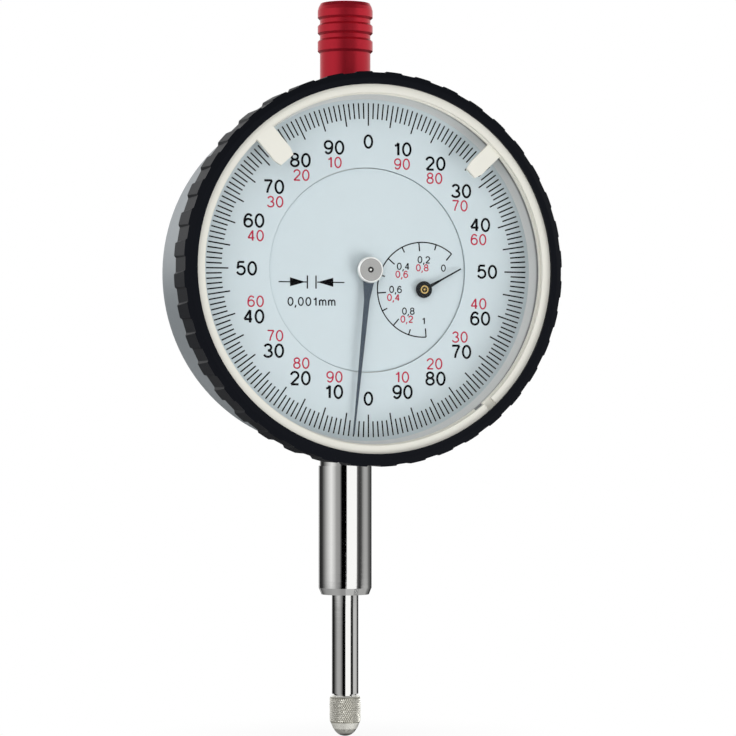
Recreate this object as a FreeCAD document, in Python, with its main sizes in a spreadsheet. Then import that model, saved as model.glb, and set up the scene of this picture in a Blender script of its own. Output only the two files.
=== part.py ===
"""Precision dial indicator, reading 0.001 mm, with a 1 mm range and a turning bezel.

Frame: the spindle runs along Z and the dial faces -Y. The origin lies on the
spindle axis, halfway up the clamping length of the stem.
"""
import FreeCAD, Part
import Sketcher
import math
import os
import re
from FreeCAD import Placement, Rotation, Vector

doc = FreeCAD.newDocument("DialIndicator")
sheet = doc.addObject("Spreadsheet::Sheet", "Sizes")

# Driving dimensions in millimetres and degrees. Depths run along Y, from the spindle axis,
# and heights run along Z, from the dial axis unless a comment says otherwise.
SIZES = {
    # stem and spindle; the dial axis lies this far above the middle of the clamping length
    "dial_height": 38.5, "clamp_length": 20, "stem_radius": 4, "stem_chamfer": 0.4,
    "stem_chamfer_height": 1, "plain_length": 18.4, "stem_relief": 0.2, "stem_wall": 1,
    "stem_shoulder": 0.6, "stem_sunk": 0.5, "stem_inside": 1, "bush_length": 6, "bush_recess": 0.3, "spindle_radius": 2,
    "spindle_reach": 15.3, "spindle_neck": 0.3, "running_gap": 0.03, "fit_gap": 0.01,
    "stud_radius": 1.25, "stud_length": 4.5, "stroke": 1.2,
    # contact point
    "ball_radius": 1.9, "ball_sink": 0.75, "ball_lip": 0.04, "socket_wall": 0.5,
    "contact_height": 4.05, "contact_taper": 0.9, "contact_bevel": 0.3,
    # top collar and lifting cap
    "collar_bush_wall": 0.6, "collar_wall": 0.5, "collar_lip": 0.2, "collar_reach": 6.5,
    "collar_inside": 1, "cap_base": 1.5, "cap_play": 0.25, "skirt_wall": 0.475,
    "skirt_height": 5.35, "band_step": 0.35, "band_gap": 0.6, "low_band": 2.14,
    "middle_band": 1.75, "top_band": 1.4, "cap_chamfer": 0.45, "cap_chamfer_height": 1.1,
    "cap_roof_gap": 0.4, "cap_seat": 0.6,
    # case and back cover, outward from the largest wheel
    "movement_gap": 1.63, "ledge_width": 1.8, "ledge_depth": 3.6, "spigot_wall": 1.2,
    "spigot_length": 1.6, "spigot_gap": 0.2, "case_shoulder": 0.9, "case_back": 6.9,
    "snap_inset": 0.75, "snap_width": 0.6, "snap_depth": 0.5, "snap_rise": 0.35,
    "snap_gap": 0.05, "snap_opening": 12, "cover_thickness": 1.6, "cover_chamfer": 0.5,
    "cover_spigot": 1, "cover_screw_edge": 1, "cover_screw_radius": 0.7,
    "cover_head_radius": 1.3, "cover_head_height": 0.6, "cover_screw_length": 4,
    "cover_slot_width": 0.3, "cover_slot_depth": 0.25,
    # bezel, crystal and dial
    "bezel_play": 0.06, "bezel_wall": 2.33, "grip_wall": 1, "grip_gap": 0.1, "grip_lip": 0.5,
    "lip_overlap": 0.9, "lip_flat": 0.9, "grip_chamfer": 0.6, "back_chamfer": 0.5,
    "flute_count": 40, "flute_depth": 0.38, "flute_share": 0.62, "flute_taper": 1.6,
    "flute_angle": 0.8, "carrier_ring_wall": 0.64,
    "marker_width": 1.4, "marker_step": 0.2, "marker_thickness": 0.6, "marker_gap": 0.05,
    "marker_play": 0.1, "rib_cover": 0.4, "rib_thickness": 0.3, "crystal_thickness": 1.2,
    "crystal_play": 0.1, "crystal_clearance": 0.4, "spacer_width": 1.4, "spacer_foot": 2.75,
    "scale_thickness": 0.5, "scale_inner": 15.15, "centre_plate_play": 0.1,
    "centre_plate_drop": 0.3, "centre_plate_thickness": 0.5, "dial_gap": 0.7,
    "foot_radius": 0.5, "foot_inset": 2.55, "foot_sunk": 0.1, "foot_angle": 100,
    # tolerance markers: tabs turned from the top, clockwise seen from the front
    "left_tab_angle": -41, "left_tab_width": 3.1, "right_tab_angle": 46,
    "right_tab_width": 2.5, "tab_reach": 5.2, "tab_taper": 0.35, "tab_taper_length": 1.1,
    "marker_slit": 1.46, "left_slit_angle": 179.3, "right_slit_angle": 95.5,
    # movement plates, pillars and screws
    "plate_thickness": 1, "front_plate_step": 3.6, "rear_plate_play": 0.1,
    "pillar_radius": 1.5, "pillar_inset": 2.2, "rivet_radius": 0.8, "small_screw_radius": 0.6,
    "small_head_radius": 1, "small_head_height": 0.6, "small_screw_length": 3.2,
    "head_play": 0.1, "plate_bush_radius": 1, "notch_gap": 0.3, "slot_gap": 0.4,
    # gear train
    "gear_module": 0.2, "centre_teeth": 10, "wheel_teeth": 108, "pinion_teeth": 12,
    "sector_teeth": 140, "counter_teeth": 80, "reading_per_turn": 0.2, "counter_angle": -18.1,
    "lever_drop": 11.5, "wheel_thickness": 0.5, "sector_thickness": 0.6, "sector_gap": 0.9,
    "wheel_gap": 0.3, "counter_gear_gap": 0.7, "front_gap": 0.4, "pinion_overlap": 0.1,
    "sector_span": 12, "sector_rim": 1.9, "hub_radius": 1.8, "lever_arm_length": 6,
    "lever_arm_width": 1.5, "arbor_radius": 0.7, "pivot_radius": 0.35,
    "front_pivot_radius": 0.5, "pivot_sunk": 0.2, "collet_radius": 1.25,
    "collet_height": 0.4, "end_shake": 0.05, "spoke_count": 5, "spoke_width": 1.5,
    "rim_width": 1.3, "wheel_hub_radius": 2.4,
    # pointers
    "pointer_gap": 0.05, "pointer_thickness": 0.15, "pointer_angle": 185.8,
    "pointer_length": 24.4, "pointer_width": 1.9, "pointer_tip": 0.2, "pointer_eye": 1.7,
    "pointer_waist": 0.45, "waist_height": 2.6,
    "boss_radius": 1.95, "boss_height": 0.5, "boss_chamfer": 0.14, "boss_neck": 0.95, "boss_neck_length": 0.45,
    "tip_radius": 0.45, "small_pointer_gap": 0.2, "small_pointer_angle": 61.4,
    "small_pointer_length": 6.6, "small_pointer_width": 0.55, "small_pointer_eye": 1.25,
    "small_boss_radius": 0.62, "small_boss_rise": 0.25, "small_boss_length": 0.8,
    # hairspring and return spring
    "hairspring_gap": 1, "hairspring_height": 0.5, "hairspring_inner": 1.3,
    "hairspring_outer": 4.4, "hairspring_turns": 4, "hairspring_strip": 0.08,
    "spring_wire": 0.32, "spring_play": 0.45, "spring_turns": 8, "spring_gap": 0.05,
    # carrier on the spindle and its guide
    "carrier_rise": 5.5, "carrier_height": 10, "carrier_width": 7, "carrier_gap": 0.5,
    "carrier_screw_drop": 2.5, "carrier_head_radius": 1.2,
    "driver_radius": 0.4, "driver_gap": 0.04, "driver_reach": 0.2, "guide_pin_radius": 0.48,
    "guide_pin_length": 2.4, "guide_pin_drop": 8, "guide_play": 0.05, "guide_bar_gap": 0.9,
    "guide_bar_width": 2.8, "guide_bar_depth": 5.4, "guide_bar_height": 11,
    "guide_slot_depth": 2, "guide_screw_spread": 3.96, "stop_wall": 0.8, "stop_height": 1,
    "stop_gap": 0.03,
}

# Sizes and places that follow from those above. Each may name any other, and every piece
# that meets another reads the same one, so a changed size carries its neighbours along.
FOLLOWING = {
    # heights on the spindle axis, from the origin
    "stem_bottom": "-clamp_length/2", "wall_drop": "ledge_bore - stem_inside",
    "stem_top": "dial_height - wall_drop", "stem_step": "dial_height - case_radius + stem_sunk",
    "relief_bottom": "stem_bottom + stem_chamfer_height + plain_length",
    "bush_seat": "stem_bottom + bush_recess + bush_length",
    "collar_bottom": "dial_height + ledge_bore - collar_inside",
    "collar_seat": "collar_bottom + bush_length",
    "collar_top": "dial_height + case_radius + collar_reach",
    "cap_bottom": "dial_height + case_radius + cap_base", "cap_roof": "collar_top + cap_roof_gap",
    "cap_shoulder": "cap_roof + cap_seat", "cap_stud_end": "cap_shoulder + stud_length",
    "spindle_end": "stem_bottom - spindle_reach",
    "contact_end": "spindle_end - contact_height - contact_taper",
    "ball_centre": "contact_end + ball_sink",
    # radii on the spindle axis
    "bush_radius": "stem_radius - stem_wall", "stem_bore": "(bush_radius + spindle_radius)/2",
    "stem_spigot": "stem_radius - stem_shoulder",
    "collar_bore": "spindle_radius + collar_bush_wall", "collar_radius": "collar_bore + collar_wall",
    "skirt_bore": "collar_radius + cap_play", "skirt_radius": "skirt_bore + skirt_wall",
    "band_radius": "skirt_radius + band_step", "spring_radius": "spindle_radius + spring_play",
    "socket_radius": "ball_radius + 2*fit_gap", "contact_radius": "ball_radius + socket_wall",
    # the lever pivots as far aside as its travel for one unit of reading asks
    "lever_reach": "reading_per_turn*wheel_teeth*sector_teeth/(2*pi*centre_teeth*pinion_teeth)",
    "lever_span": "sqrt(lever_reach^2 + lever_drop^2)",
    "wheel_span": "gear_module*(centre_teeth + wheel_teeth)/2",
    "sector_reach": "gear_module*(pinion_teeth + sector_teeth)/2",
    "counter_span": "gear_module*(centre_teeth + counter_teeth)/2",
    "wheel_angle": "atan2(-lever_drop; lever_reach)"
                   " - acos((lever_span^2 + wheel_span^2 - sector_reach^2)/(2*lever_span*wheel_span))",
    "lever_swing": "stroke/lever_reach", "half_swing": "90/pi*lever_swing",
    "driver_up": "-lever_drop - stroke/2 - driver_radius/cos(half_swing) - driver_gap",
    # radii of the case and the bezel, from the inside outward
    "case_bore": "wheel_span + gear_module*(wheel_teeth/2 + 0.85) + movement_gap",
    "ledge_bore": "case_bore - ledge_width", "spigot_radius": "case_bore + spigot_wall",
    "case_radius": "spigot_radius + case_shoulder",
    "ring_bore": "spigot_radius + bezel_play", "ring_radius": "ring_bore + bezel_wall",
    "grip_bore": "ring_radius + fit_gap", "bezel_radius": "grip_bore + grip_wall",
    "lip_radius": "grip_bore - lip_overlap", "recess": "grip_bore - carrier_ring_wall",
    "marker_radius": "recess - bezel_play", "marker_inner": "marker_radius - marker_width",
    "rib_radius": "marker_inner + rib_cover", "tab_inner": "marker_inner - tab_reach",
    "crystal_radius": "grip_bore - crystal_play", "spacer_radius": "grip_bore - spacer_width",
    "snap_bore": "spigot_radius + snap_rise + snap_gap",
    "cover_screw_circle": "case_radius - cover_head_radius - cover_screw_edge",
    "front_plate_radius": "case_bore - front_plate_step",
    "pillar_circle": "front_plate_radius - pillar_inset",
    "movement_screw_circle": "case_bore - small_head_radius - head_play",
    "foot_circle": "scale_inner - foot_inset",
    # depths of the movement and the dial, from the case's ledge forward
    "ledge": "-ledge_depth", "rear_plate_front": "ledge - plate_thickness",
    "sector_back": "rear_plate_front - sector_gap", "sector_front": "sector_back - sector_thickness",
    "wheel_back": "sector_front - collet_height - wheel_gap",
    "wheel_front": "wheel_back - wheel_thickness",
    "counter_gear_back": "wheel_front - counter_gear_gap",
    "counter_gear_front": "counter_gear_back - wheel_thickness",
    "front_plate_back": "counter_gear_front - front_gap",
    "front_plate_front": "front_plate_back - plate_thickness",
    "back_shoulder": "rear_plate_front - end_shake", "front_shoulder": "front_plate_back + end_shake",
    "back_pivot_end": "ledge - pivot_sunk", "front_pivot_end": "front_plate_front + pivot_sunk",
    "hairspring_back": "rear_plate_front - hairspring_gap",
    "hairspring_front": "hairspring_back - hairspring_height",
    "centre_plate_back": "front_plate_front - dial_gap",
    "centre_plate_front": "centre_plate_back - centre_plate_thickness",
    "scale_front": "centre_plate_front - centre_plate_drop",
    "scale_back": "scale_front + scale_thickness",
    "small_pointer_back": "scale_front - small_pointer_gap",
    "small_boss_front": "small_pointer_back - pointer_thickness - small_boss_rise",
    "pointer_back": "small_boss_front - pointer_gap",
    "pointer_front": "pointer_back - pointer_thickness", "boss_front": "pointer_front - boss_height",
    # depths of the case's front and the bezel, from the scale
    "spigot_front": "scale_back + spigot_gap", "case_front": "spigot_front + spigot_length",
    "snap_centre": "spigot_front + snap_inset", "grip_back": "case_front - grip_gap",
    "groove_front": "snap_centre - snap_width/2 - snap_gap",
    "groove_back": "snap_centre + snap_width/2 + snap_gap",
    "spacer_front": "boss_front - crystal_clearance",
    "crystal_front": "spacer_front - crystal_thickness", "rib_front": "crystal_front - rib_thickness",
    "rear_marker_front": "rib_front - marker_gap - marker_thickness",
    "front_marker_front": "rear_marker_front - marker_play - marker_thickness",
    "lip_back": "front_marker_front - marker_gap", "grip_front": "lip_back - grip_lip",
    "cover_back": "case_back + cover_thickness",
    # the carrier and its guide, with heights from the dial axis
    "carrier_depth": "2*(ledge_depth - carrier_gap)", "carrier_top": "carrier_rise - lever_drop",
    "carrier_bottom": "carrier_top - carrier_height", "guide_up": "carrier_top - guide_pin_drop",
    "carrier_screw_up": "carrier_top - carrier_screw_drop",
    "driver_tip": "sector_front - driver_reach",
    "guide_bar_right": "-carrier_width/2 - guide_bar_gap",
    "guide_bar_left": "guide_bar_right - guide_bar_width",
}
for row, (alias, number) in enumerate(SIZES.items(), start=1):
    sheet.set(f"A{row}", alias)
    sheet.set(f"B{row}", str(number))
    sheet.setAlias(f"B{row}", alias)
doc.recompute()

pieces = {}


def formula(text):
    """An expression in which each driving size is read from the sheet."""
    def spell(found):
        word = found.group()
        if word in FOLLOWING:
            return f"({formula(FOLLOWING[word])})"
        return f"Sizes.{word}" if word in SIZES else word
    return re.sub(r"[a-z_]+", spell, str(text))


def value(text):
    """The number that an expression gives."""
    return float(sheet.evalExpression(formula(text)))


def polar(radius, angle):
    """Across and up from the dial axis, as a pair of expressions."""
    return f"({radius})*cos({angle})", f"({radius})*sin({angle})"


def put(thing, spot=("0", "0"), depth="0", height="dial_height", turn=None):
    """Place a piece: spot is across and up from the height, turn is about +Y."""
    if turn is not None:
        thing.Placement = Placement(Vector(), Rotation(Vector(0, 1, 0), value(turn)))
        thing.setExpression("Placement.Rotation.Angle", formula(turn))
    thing.setExpression("Placement.Base.x", formula(spot[0]))
    thing.setExpression("Placement.Base.y", formula(depth))
    thing.setExpression("Placement.Base.z", formula(f"({height}) + ({spot[1]})"))


def keep(thing, label):
    """Name a finished piece; its label names its file."""
    thing.Label = label
    pieces[label] = thing
    return thing


def sketch_on(body, name, plane, offset="0"):
    """A sketch on one of the body's own origin planes, moved along the plane's normal."""
    sketch = body.newObject("Sketcher::SketchObject", name)
    origin_plane = next(item for item in body.Origin.OriginFeatures if item.Role == plane)
    sketch.AttachmentSupport = [(origin_plane, "")]
    sketch.MapMode = "FlatFace"
    sketch.setExpression("AttachmentOffset.Base.z", formula(offset))
    return sketch


def polygon(sketch, corners):
    """A closed outline whose corners are pairs of expressions."""
    first = sketch.GeometryCount
    spots = [Vector(value(across), value(up), 0) for across, up in corners]
    for start, end in zip(spots, spots[1:] + spots[:1]):
        sketch.addGeometry(Part.LineSegment(start, end))
    count = len(corners)
    for side in range(count):
        sketch.addConstraint(
            Sketcher.Constraint("Coincident", first + side, 2, first + (side + 1) % count, 1))
    for side, (across, up) in enumerate(corners):
        for kind, text in (("DistanceX", across), ("DistanceY", up)):
            rule = sketch.addConstraint(
                Sketcher.Constraint(kind, -1, 1, first + side, 1, value(text)))
            sketch.setExpression(f"Constraints[{rule}]", formula(text))


def circles(sketch, rounds):
    """Circles given as across, up and radius expressions."""
    for across, up, radius in rounds:
        spot = Vector(value(across), value(up), 0)
        index = sketch.addGeometry(Part.Circle(spot, Vector(0, 0, 1), value(radius)))
        for kind, text in (("DistanceX", across), ("DistanceY", up)):
            rule = sketch.addConstraint(
                Sketcher.Constraint(kind, -1, 1, index, 3, value(text)))
            sketch.setExpression(f"Constraints[{rule}]", formula(text))
        rule = sketch.addConstraint(Sketcher.Constraint("Radius", index, value(radius)))
        sketch.setExpression(f"Constraints[{rule}]", formula(radius))


def turned_body(name, profile, sweep=360):
    """A body turned about its own Y axis from corners of radius and distance along."""
    body = doc.addObject("PartDesign::Body", name)
    sketch = sketch_on(body, name + "_profile", "XY_Plane")
    polygon(sketch, profile)
    turning = body.newObject("PartDesign::Revolution", name + "_turning")
    turning.Profile = sketch
    turning.ReferenceAxis = (sketch, ["V_Axis"])
    turning.Angle = 360
    if sweep != 360:
        turning.setExpression("Angle", formula(sweep))
    return body


def turned(label, profile, spot=("0", "0"), sweep=360):
    """A turned piece on an axis parallel to the dial axis; distances are depths."""
    body = keep(turned_body(label, profile, sweep), label)
    put(body, spot)
    return body


def turned_upright(label, profile):
    """A turned piece on the spindle axis; distances are heights from the origin."""
    body = keep(turned_body(label, profile), label)
    body.Placement = Placement(Vector(), Rotation(Vector(1, 0, 0), 90))
    return body


def tube(inner, outer, low, high):
    """The profile of a plain ring or bush."""
    return [(inner, low), (outer, low), (outer, high), (inner, high)]


def padded(body, name, back, thickness, rounds=(), outline=None):
    """Add a flat shape that reaches forward from the depth given as back."""
    sketch = sketch_on(body, name + "_sketch", "XZ_Plane", f"-({back})")
    if outline:
        polygon(sketch, outline)
    circles(sketch, rounds)
    pad = body.newObject("PartDesign::Pad", name)
    pad.Profile = sketch
    pad.setExpression("Length", formula(thickness))
    return pad


def pocketed(body, name, plane, offset, length, rounds=(), outline=None, backward=False):
    """Cut a shape from a plane, against its normal or, when backward, along it."""
    sketch = sketch_on(body, name + "_sketch", plane, offset)
    if outline:
        polygon(sketch, outline)
    circles(sketch, rounds)
    pocket = body.newObject("PartDesign::Pocket", name)
    pocket.Profile = sketch
    pocket.setExpression("Length", formula(length))
    pocket.Reversed = backward
    return pocket


def rod(name, spot, low, length, radius, far_radius=None):
    """A cylinder or cone along Y, from the depth low."""
    thing = doc.addObject("Part::Cone" if far_radius else "Part::Cylinder", name)
    thing.Placement = Placement(Vector(), Rotation(Vector(1, 0, 0), -90))
    put(thing, spot, low)
    thing.setExpression("Height", formula(length))
    if far_radius:
        thing.setExpression("Radius1", formula(radius))
        thing.setExpression("Radius2", formula(far_radius))
    else:
        thing.setExpression("Radius", formula(radius))
    return thing


def block(name, size, corner, height="dial_height"):
    """A box of three size expressions, with its low corner at across, depth and up."""
    thing = doc.addObject("Part::Box", name)
    for side, text in zip(("Length", "Width", "Height"), size):
        thing.setExpression(side, formula(text))
    put(thing, (corner[0], corner[2]), corner[1], height)
    return thing


def joined(name, things):
    whole = doc.addObject("Part::MultiFuse", name)
    whole.Shapes = things
    return whole


def cut(name, base, tool):
    rest = doc.addObject("Part::Cut", name)
    rest.Base = base
    rest.Tool = tool
    return rest


def group(label, things):
    """Like pieces that share a file as separate solids."""
    together = doc.addObject("Part::Compound", label)
    together.Links = things
    return keep(together, label)


def slotted_screw(name, spot, seat, length, shank, head, head_height, forward):
    """A cheese-head screw on the plane seat; its head stands to the front or the back."""
    sign = "-" if forward else "+"
    head_low = f"({seat}) - ({head_height})" if forward else seat
    shank_low = seat if forward else f"({seat}) - ({length})"
    slot_low = f"({seat}) {sign} ({head_height})" + ("" if forward else f" - ({head_height})/2")
    solid = joined(name + "_solid", [
        rod(name + "_head", spot, head_low, head_height, head),
        rod(name + "_shank", spot, shank_low, length, shank)])
    slot = block(name + "_slot", (f"3*({head})", f"({head_height})/2", f"({head})/4"),
                 (f"({spot[0]}) - 1.5*({head})", slot_low, f"({spot[1]}) - ({head})/8"))
    return cut(name, solid, slot)


# Places on the dial plane that several pieces share, across and up from the dial axis.
CENTRE = ("0", "0")
COUNTER = polar("counter_span", "counter_angle")
LEVER = ("lever_reach", "-lever_drop")
WHEEL = polar("wheel_span", "wheel_angle")
DRIVER = ("0", "driver_up")
ARBORS = {"centre": CENTRE, "counter": COUNTER, "wheel": WHEEL, "lever": LEVER}
PIVOTS = {"centre": "front_pivot_radius", "counter": "front_pivot_radius",
          "wheel": "pivot_radius", "lever": "pivot_radius"}
PILLARS = [polar("pillar_circle", angle) for angle in (30, 150, 270)]
FEET = [polar("foot_circle", f"foot_angle + {half}") for half in (0, 180)]
MOVEMENT_SCREWS = [polar("movement_screw_circle", angle) for angle in (45, 135, 225, 315)]
COVER_SCREWS = [polar("cover_screw_circle", angle) for angle in (45, 135, 225, 315)]
GUIDE_BAR_SCREWS = [("guide_bar_right - guide_bar_width/2", f"guide_up {side} guide_screw_spread")
                    for side in "+-"]


# Case: a deep turned ring with a front spigot for the bezel and a ledge for the movement.
case = turned("case_shell", [
    ("case_bore", "spigot_front"), ("spigot_radius", "spigot_front"),
    ("spigot_radius", "groove_front"), ("spigot_radius - snap_depth", "groove_front"),
    ("spigot_radius - snap_depth", "groove_back"), ("spigot_radius", "groove_back"),
    ("spigot_radius", "case_front"), ("case_radius", "case_front"),
    ("case_radius", "case_back"), ("ledge_bore", "case_back"),
    ("ledge_bore", "ledge"), ("case_bore", "ledge")])
pocketed(case, "stem_hole", "XY_Plane", "0", "case_radius + 1", [("0", "0", "stem_spigot")])
pocketed(case, "stem_seat", "XY_Plane", "stem_sunk - case_radius", "1", [("0", "0", "stem_radius - stem_relief")])
pocketed(case, "collar_hole", "XY_Plane", "0", "case_radius + 1",
         [("0", "0", "collar_radius")], backward=True)
pocketed(case, "cover_screw_holes", "XZ_Plane", "-case_back", "cover_screw_length",
         [(*spot, "cover_screw_radius") for spot in COVER_SCREWS], backward=True)
pocketed(case, "movement_screw_holes", "XZ_Plane", "ledge_depth", "small_screw_length",
         [(*spot, "small_screw_radius") for spot in MOVEMENT_SCREWS])

# Back cover: a flat disc with a spigot, held by four countersunk screws.
cover = turned_body("cover_disc", [
    ("0", "case_back - cover_spigot"), ("ledge_bore - fit_gap", "case_back - cover_spigot"),
    ("ledge_bore - fit_gap", "case_back"), ("case_radius", "case_back"),
    ("case_radius", "cover_back - cover_chamfer"),
    ("case_radius - cover_chamfer", "cover_back"), ("0", "cover_back")])
put(cover)
sinks = []
screws = []
for number, spot in enumerate(COVER_SCREWS):
    for kind, gap, made in (("sink", "fit_gap", sinks), ("screw", "0", screws)):
        name = f"cover_{kind}_{number}"
        solid = joined(name + "_solid", [
            rod(name + "_head", spot, "cover_back - cover_head_height", "cover_head_height",
                f"cover_screw_radius + {gap}", f"cover_head_radius + {gap}"),
            rod(name + "_shank", spot, "cover_back - cover_head_height - cover_screw_length",
                "cover_screw_length", f"cover_screw_radius + {gap}")])
        if kind == "screw":
            slot = block(name + "_slot", ("3*cover_head_radius", "cover_slot_depth", "cover_slot_width"),
                         (f"({spot[0]}) - 1.5*cover_head_radius", "cover_back - cover_slot_depth",
                          f"({spot[1]}) - cover_slot_width/2"))
            solid = cut(name, solid, slot)
        made.append(solid)
keep(cut("back_cover", cover, joined("cover_sinks", sinks)), "back_cover")
group("back_cover_screws", screws)

# Stem and the two bushes that the spindle runs in.
turned_upright("stem", [
    ("bush_radius", "stem_bottom"), ("stem_radius - stem_chamfer", "stem_bottom"),
    ("stem_radius", "stem_bottom + stem_chamfer_height"), ("stem_radius", "relief_bottom"),
    ("stem_radius - stem_relief", "relief_bottom"), ("stem_radius - stem_relief", "stem_step"),
    ("stem_spigot", "stem_step"), ("stem_spigot", "stem_top"), ("stem_bore", "stem_top"),
    ("stem_bore", "bush_seat"), ("bush_radius", "bush_seat")])
turned_upright("stem_guide_bush", tube("spindle_radius + running_gap", "bush_radius - fit_gap",
                                       "stem_bottom + bush_recess", "bush_seat"))
turned_upright("top_collar", [
    ("collar_bore", "collar_bottom"), ("collar_radius", "collar_bottom"),
    ("collar_radius", "collar_top"), ("spindle_radius + collar_lip", "collar_top"),
    ("spindle_radius + collar_lip", "collar_seat"), ("collar_bore", "collar_seat")])
turned_upright("collar_guide_bush", tube("spindle_radius + running_gap", "collar_bore - fit_gap",
                                         "collar_bottom", "collar_seat"))

# Spindle, contact point and lifting cap, which rise and fall together.
turned_upright("spindle", [
    ("stud_radius", "spindle_end"), ("spindle_radius - spindle_neck", "spindle_end"),
    ("spindle_radius - spindle_neck", "spindle_end + spindle_neck"),
    ("spindle_radius", "spindle_end + spindle_neck"), ("spindle_radius", "cap_shoulder"),
    ("stud_radius", "cap_shoulder"), ("stud_radius", "cap_stud_end"), ("0", "cap_stud_end"),
    ("0", "spindle_end + stud_length"), ("stud_radius", "spindle_end + stud_length")])
SOCKET = [f"asin(ball_sink/socket_radius)*{share}" for share in ("1", "0.5")]
turned_upright("contact_holder", [
    ("0", "ball_centre + socket_radius"), ("socket_radius", "ball_centre + socket_radius"),
    ("socket_radius", "ball_centre"),
    (f"socket_radius*cos({SOCKET[1]})", f"ball_centre - socket_radius*sin({SOCKET[1]})"),
    (f"socket_radius*cos({SOCKET[0]})", "contact_end"),
    (f"socket_radius*cos({SOCKET[0]}) + ball_lip", "contact_end"),
    ("contact_radius", "spindle_end - contact_height"),
    ("contact_radius", "spindle_end - contact_bevel"),
    ("contact_radius - contact_bevel", "spindle_end"), ("stud_radius - fit_gap", "spindle_end"),
    ("stud_radius - fit_gap", "spindle_end + stud_length - fit_gap"),
    ("0", "spindle_end + stud_length - fit_gap")])
ball = doc.addObject("Part::Sphere", "contact_ball")
ball.setExpression("Radius", formula("ball_radius"))
put(ball, height="ball_centre")
keep(ball, "contact_ball")

cap_profile = [("skirt_bore", "cap_bottom"), ("skirt_radius", "cap_bottom")]
low = "cap_bottom + skirt_height"
for band in ("low_band", "middle_band"):
    cap_profile += [("skirt_radius", low), ("band_radius", f"{low} + band_step"),
                    ("band_radius", f"{low} + {band} - band_step"), ("skirt_radius", f"{low} + {band}")]
    low = f"{low} + {band} + band_gap"
turned_upright("lifting_cap", cap_profile + [
    ("skirt_radius", low), ("band_radius", f"{low} + band_step"),
    ("band_radius", f"{low} + top_band"),
    ("band_radius - cap_chamfer/3", f"{low} + top_band + cap_chamfer_height/2"),
    ("band_radius - cap_chamfer", f"{low} + top_band + cap_chamfer_height"),
    ("0", f"{low} + top_band + cap_chamfer_height"), ("0", "cap_stud_end + fit_gap"),
    ("stud_radius + fit_gap", "cap_stud_end + fit_gap"), ("stud_radius + fit_gap", "cap_shoulder"),
    ("spindle_radius + fit_gap", "cap_shoulder"), ("spindle_radius + fit_gap", "cap_roof"),
    ("skirt_bore", "cap_roof")])

# Carrier clamped on the spindle, with the driver pin for the lever and the guide pin.
carrier = cut("carrier", block("carrier_block", ("carrier_width", "carrier_depth", "carrier_height"),
                               ("-carrier_width/2", "-carrier_depth/2", "carrier_bottom")),
              doc.addObject("Part::Cylinder", "carrier_bore"))
carrier.Tool.setExpression("Radius", formula("spindle_radius + fit_gap"))
carrier.Tool.setExpression("Height", formula("carrier_height"))
put(carrier.Tool, ("0", "carrier_bottom"))
screw_bore = rod("carrier_screw_bore", ("0", "carrier_screw_up"), "spindle_radius",
                 "carrier_depth/2", "small_screw_radius + fit_gap")
driver_bore = rod("driver_bore", DRIVER, "-carrier_depth/2", "carrier_depth/2 - spindle_radius",
                  "driver_radius + fit_gap")


def guide_rod(name, radius):
    """The guide pin's own cylinder, along X from inside the carrier's left side."""
    thing = doc.addObject("Part::Cylinder", name)
    thing.Placement = Placement(Vector(), Rotation(Vector(0, 1, 0), -90))
    thing.setExpression("Radius", formula(radius))
    thing.setExpression("Height", formula("guide_pin_length + carrier_width/6"))
    put(thing, ("-carrier_width/3", "guide_up"))
    return thing


keep(cut("spindle_carrier", carrier, joined("carrier_bores", [
    screw_bore, driver_bore, guide_rod("guide_bore", "guide_pin_radius + fit_gap")])),
     "spindle_carrier")
keep(guide_rod("guide_pin", "guide_pin_radius"), "guide_pin")
keep(rod("driver_pin", DRIVER, "driver_tip", "-driver_tip - spindle_radius - running_gap",
         "driver_radius"), "driver_pin")
keep(slotted_screw("carrier_screw", ("0", "carrier_screw_up"), "carrier_depth/2",
                   "carrier_depth/2 - spindle_radius - fit_gap", "small_screw_radius",
                   "carrier_head_radius", "small_head_height", False), "carrier_screw")
turned_upright("spindle_stop_ring", tube(
    "spindle_radius + fit_gap", "spindle_radius + stop_wall", "stem_top + stop_gap",
    "stem_top + stop_gap + stop_height"))

# Return spring: a coil round the spindle, pressed between the carrier and the top collar.
spring_low = value("dial_height + carrier_top + spring_gap + spring_wire/2")
spring_high = value("collar_bottom - spring_gap - spring_wire/2")
coil = Part.makeHelix((spring_high - spring_low)/value("spring_turns"), spring_high - spring_low,
                      value("spring_radius"))
half_wire = value("spring_wire/2")
section = Part.makePolygon([Vector(value("spring_radius") + side, 0, up) for side, up in (
    (-half_wire, -half_wire), (half_wire, -half_wire), (half_wire, half_wire),
    (-half_wire, half_wire), (-half_wire, -half_wire))])
spring = doc.addObject("Part::Feature", "return_spring")
spring.Shape = Part.Wire(coil).makePipeShell([section], True, True)
spring.Placement = Placement(Vector(0, 0, spring_low), Rotation())
keep(spring, "spindle_return_spring")

# Movement plates, pillars and bushes.
front_plate = doc.addObject("PartDesign::Body", "front_plate")
padded(front_plate, "front_plate_disc", "front_plate_back", "plate_thickness",
       [("0", "0", "front_plate_radius")]
       + [(*spot, "plate_bush_radius") for spot in ARBORS.values()]
       + [(*spot, "small_screw_radius + fit_gap") for spot in PILLARS]
       + [(*spot, "foot_radius + fit_gap") for spot in FEET])
put(front_plate)
keep(front_plate, "movement_front_plate")

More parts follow.
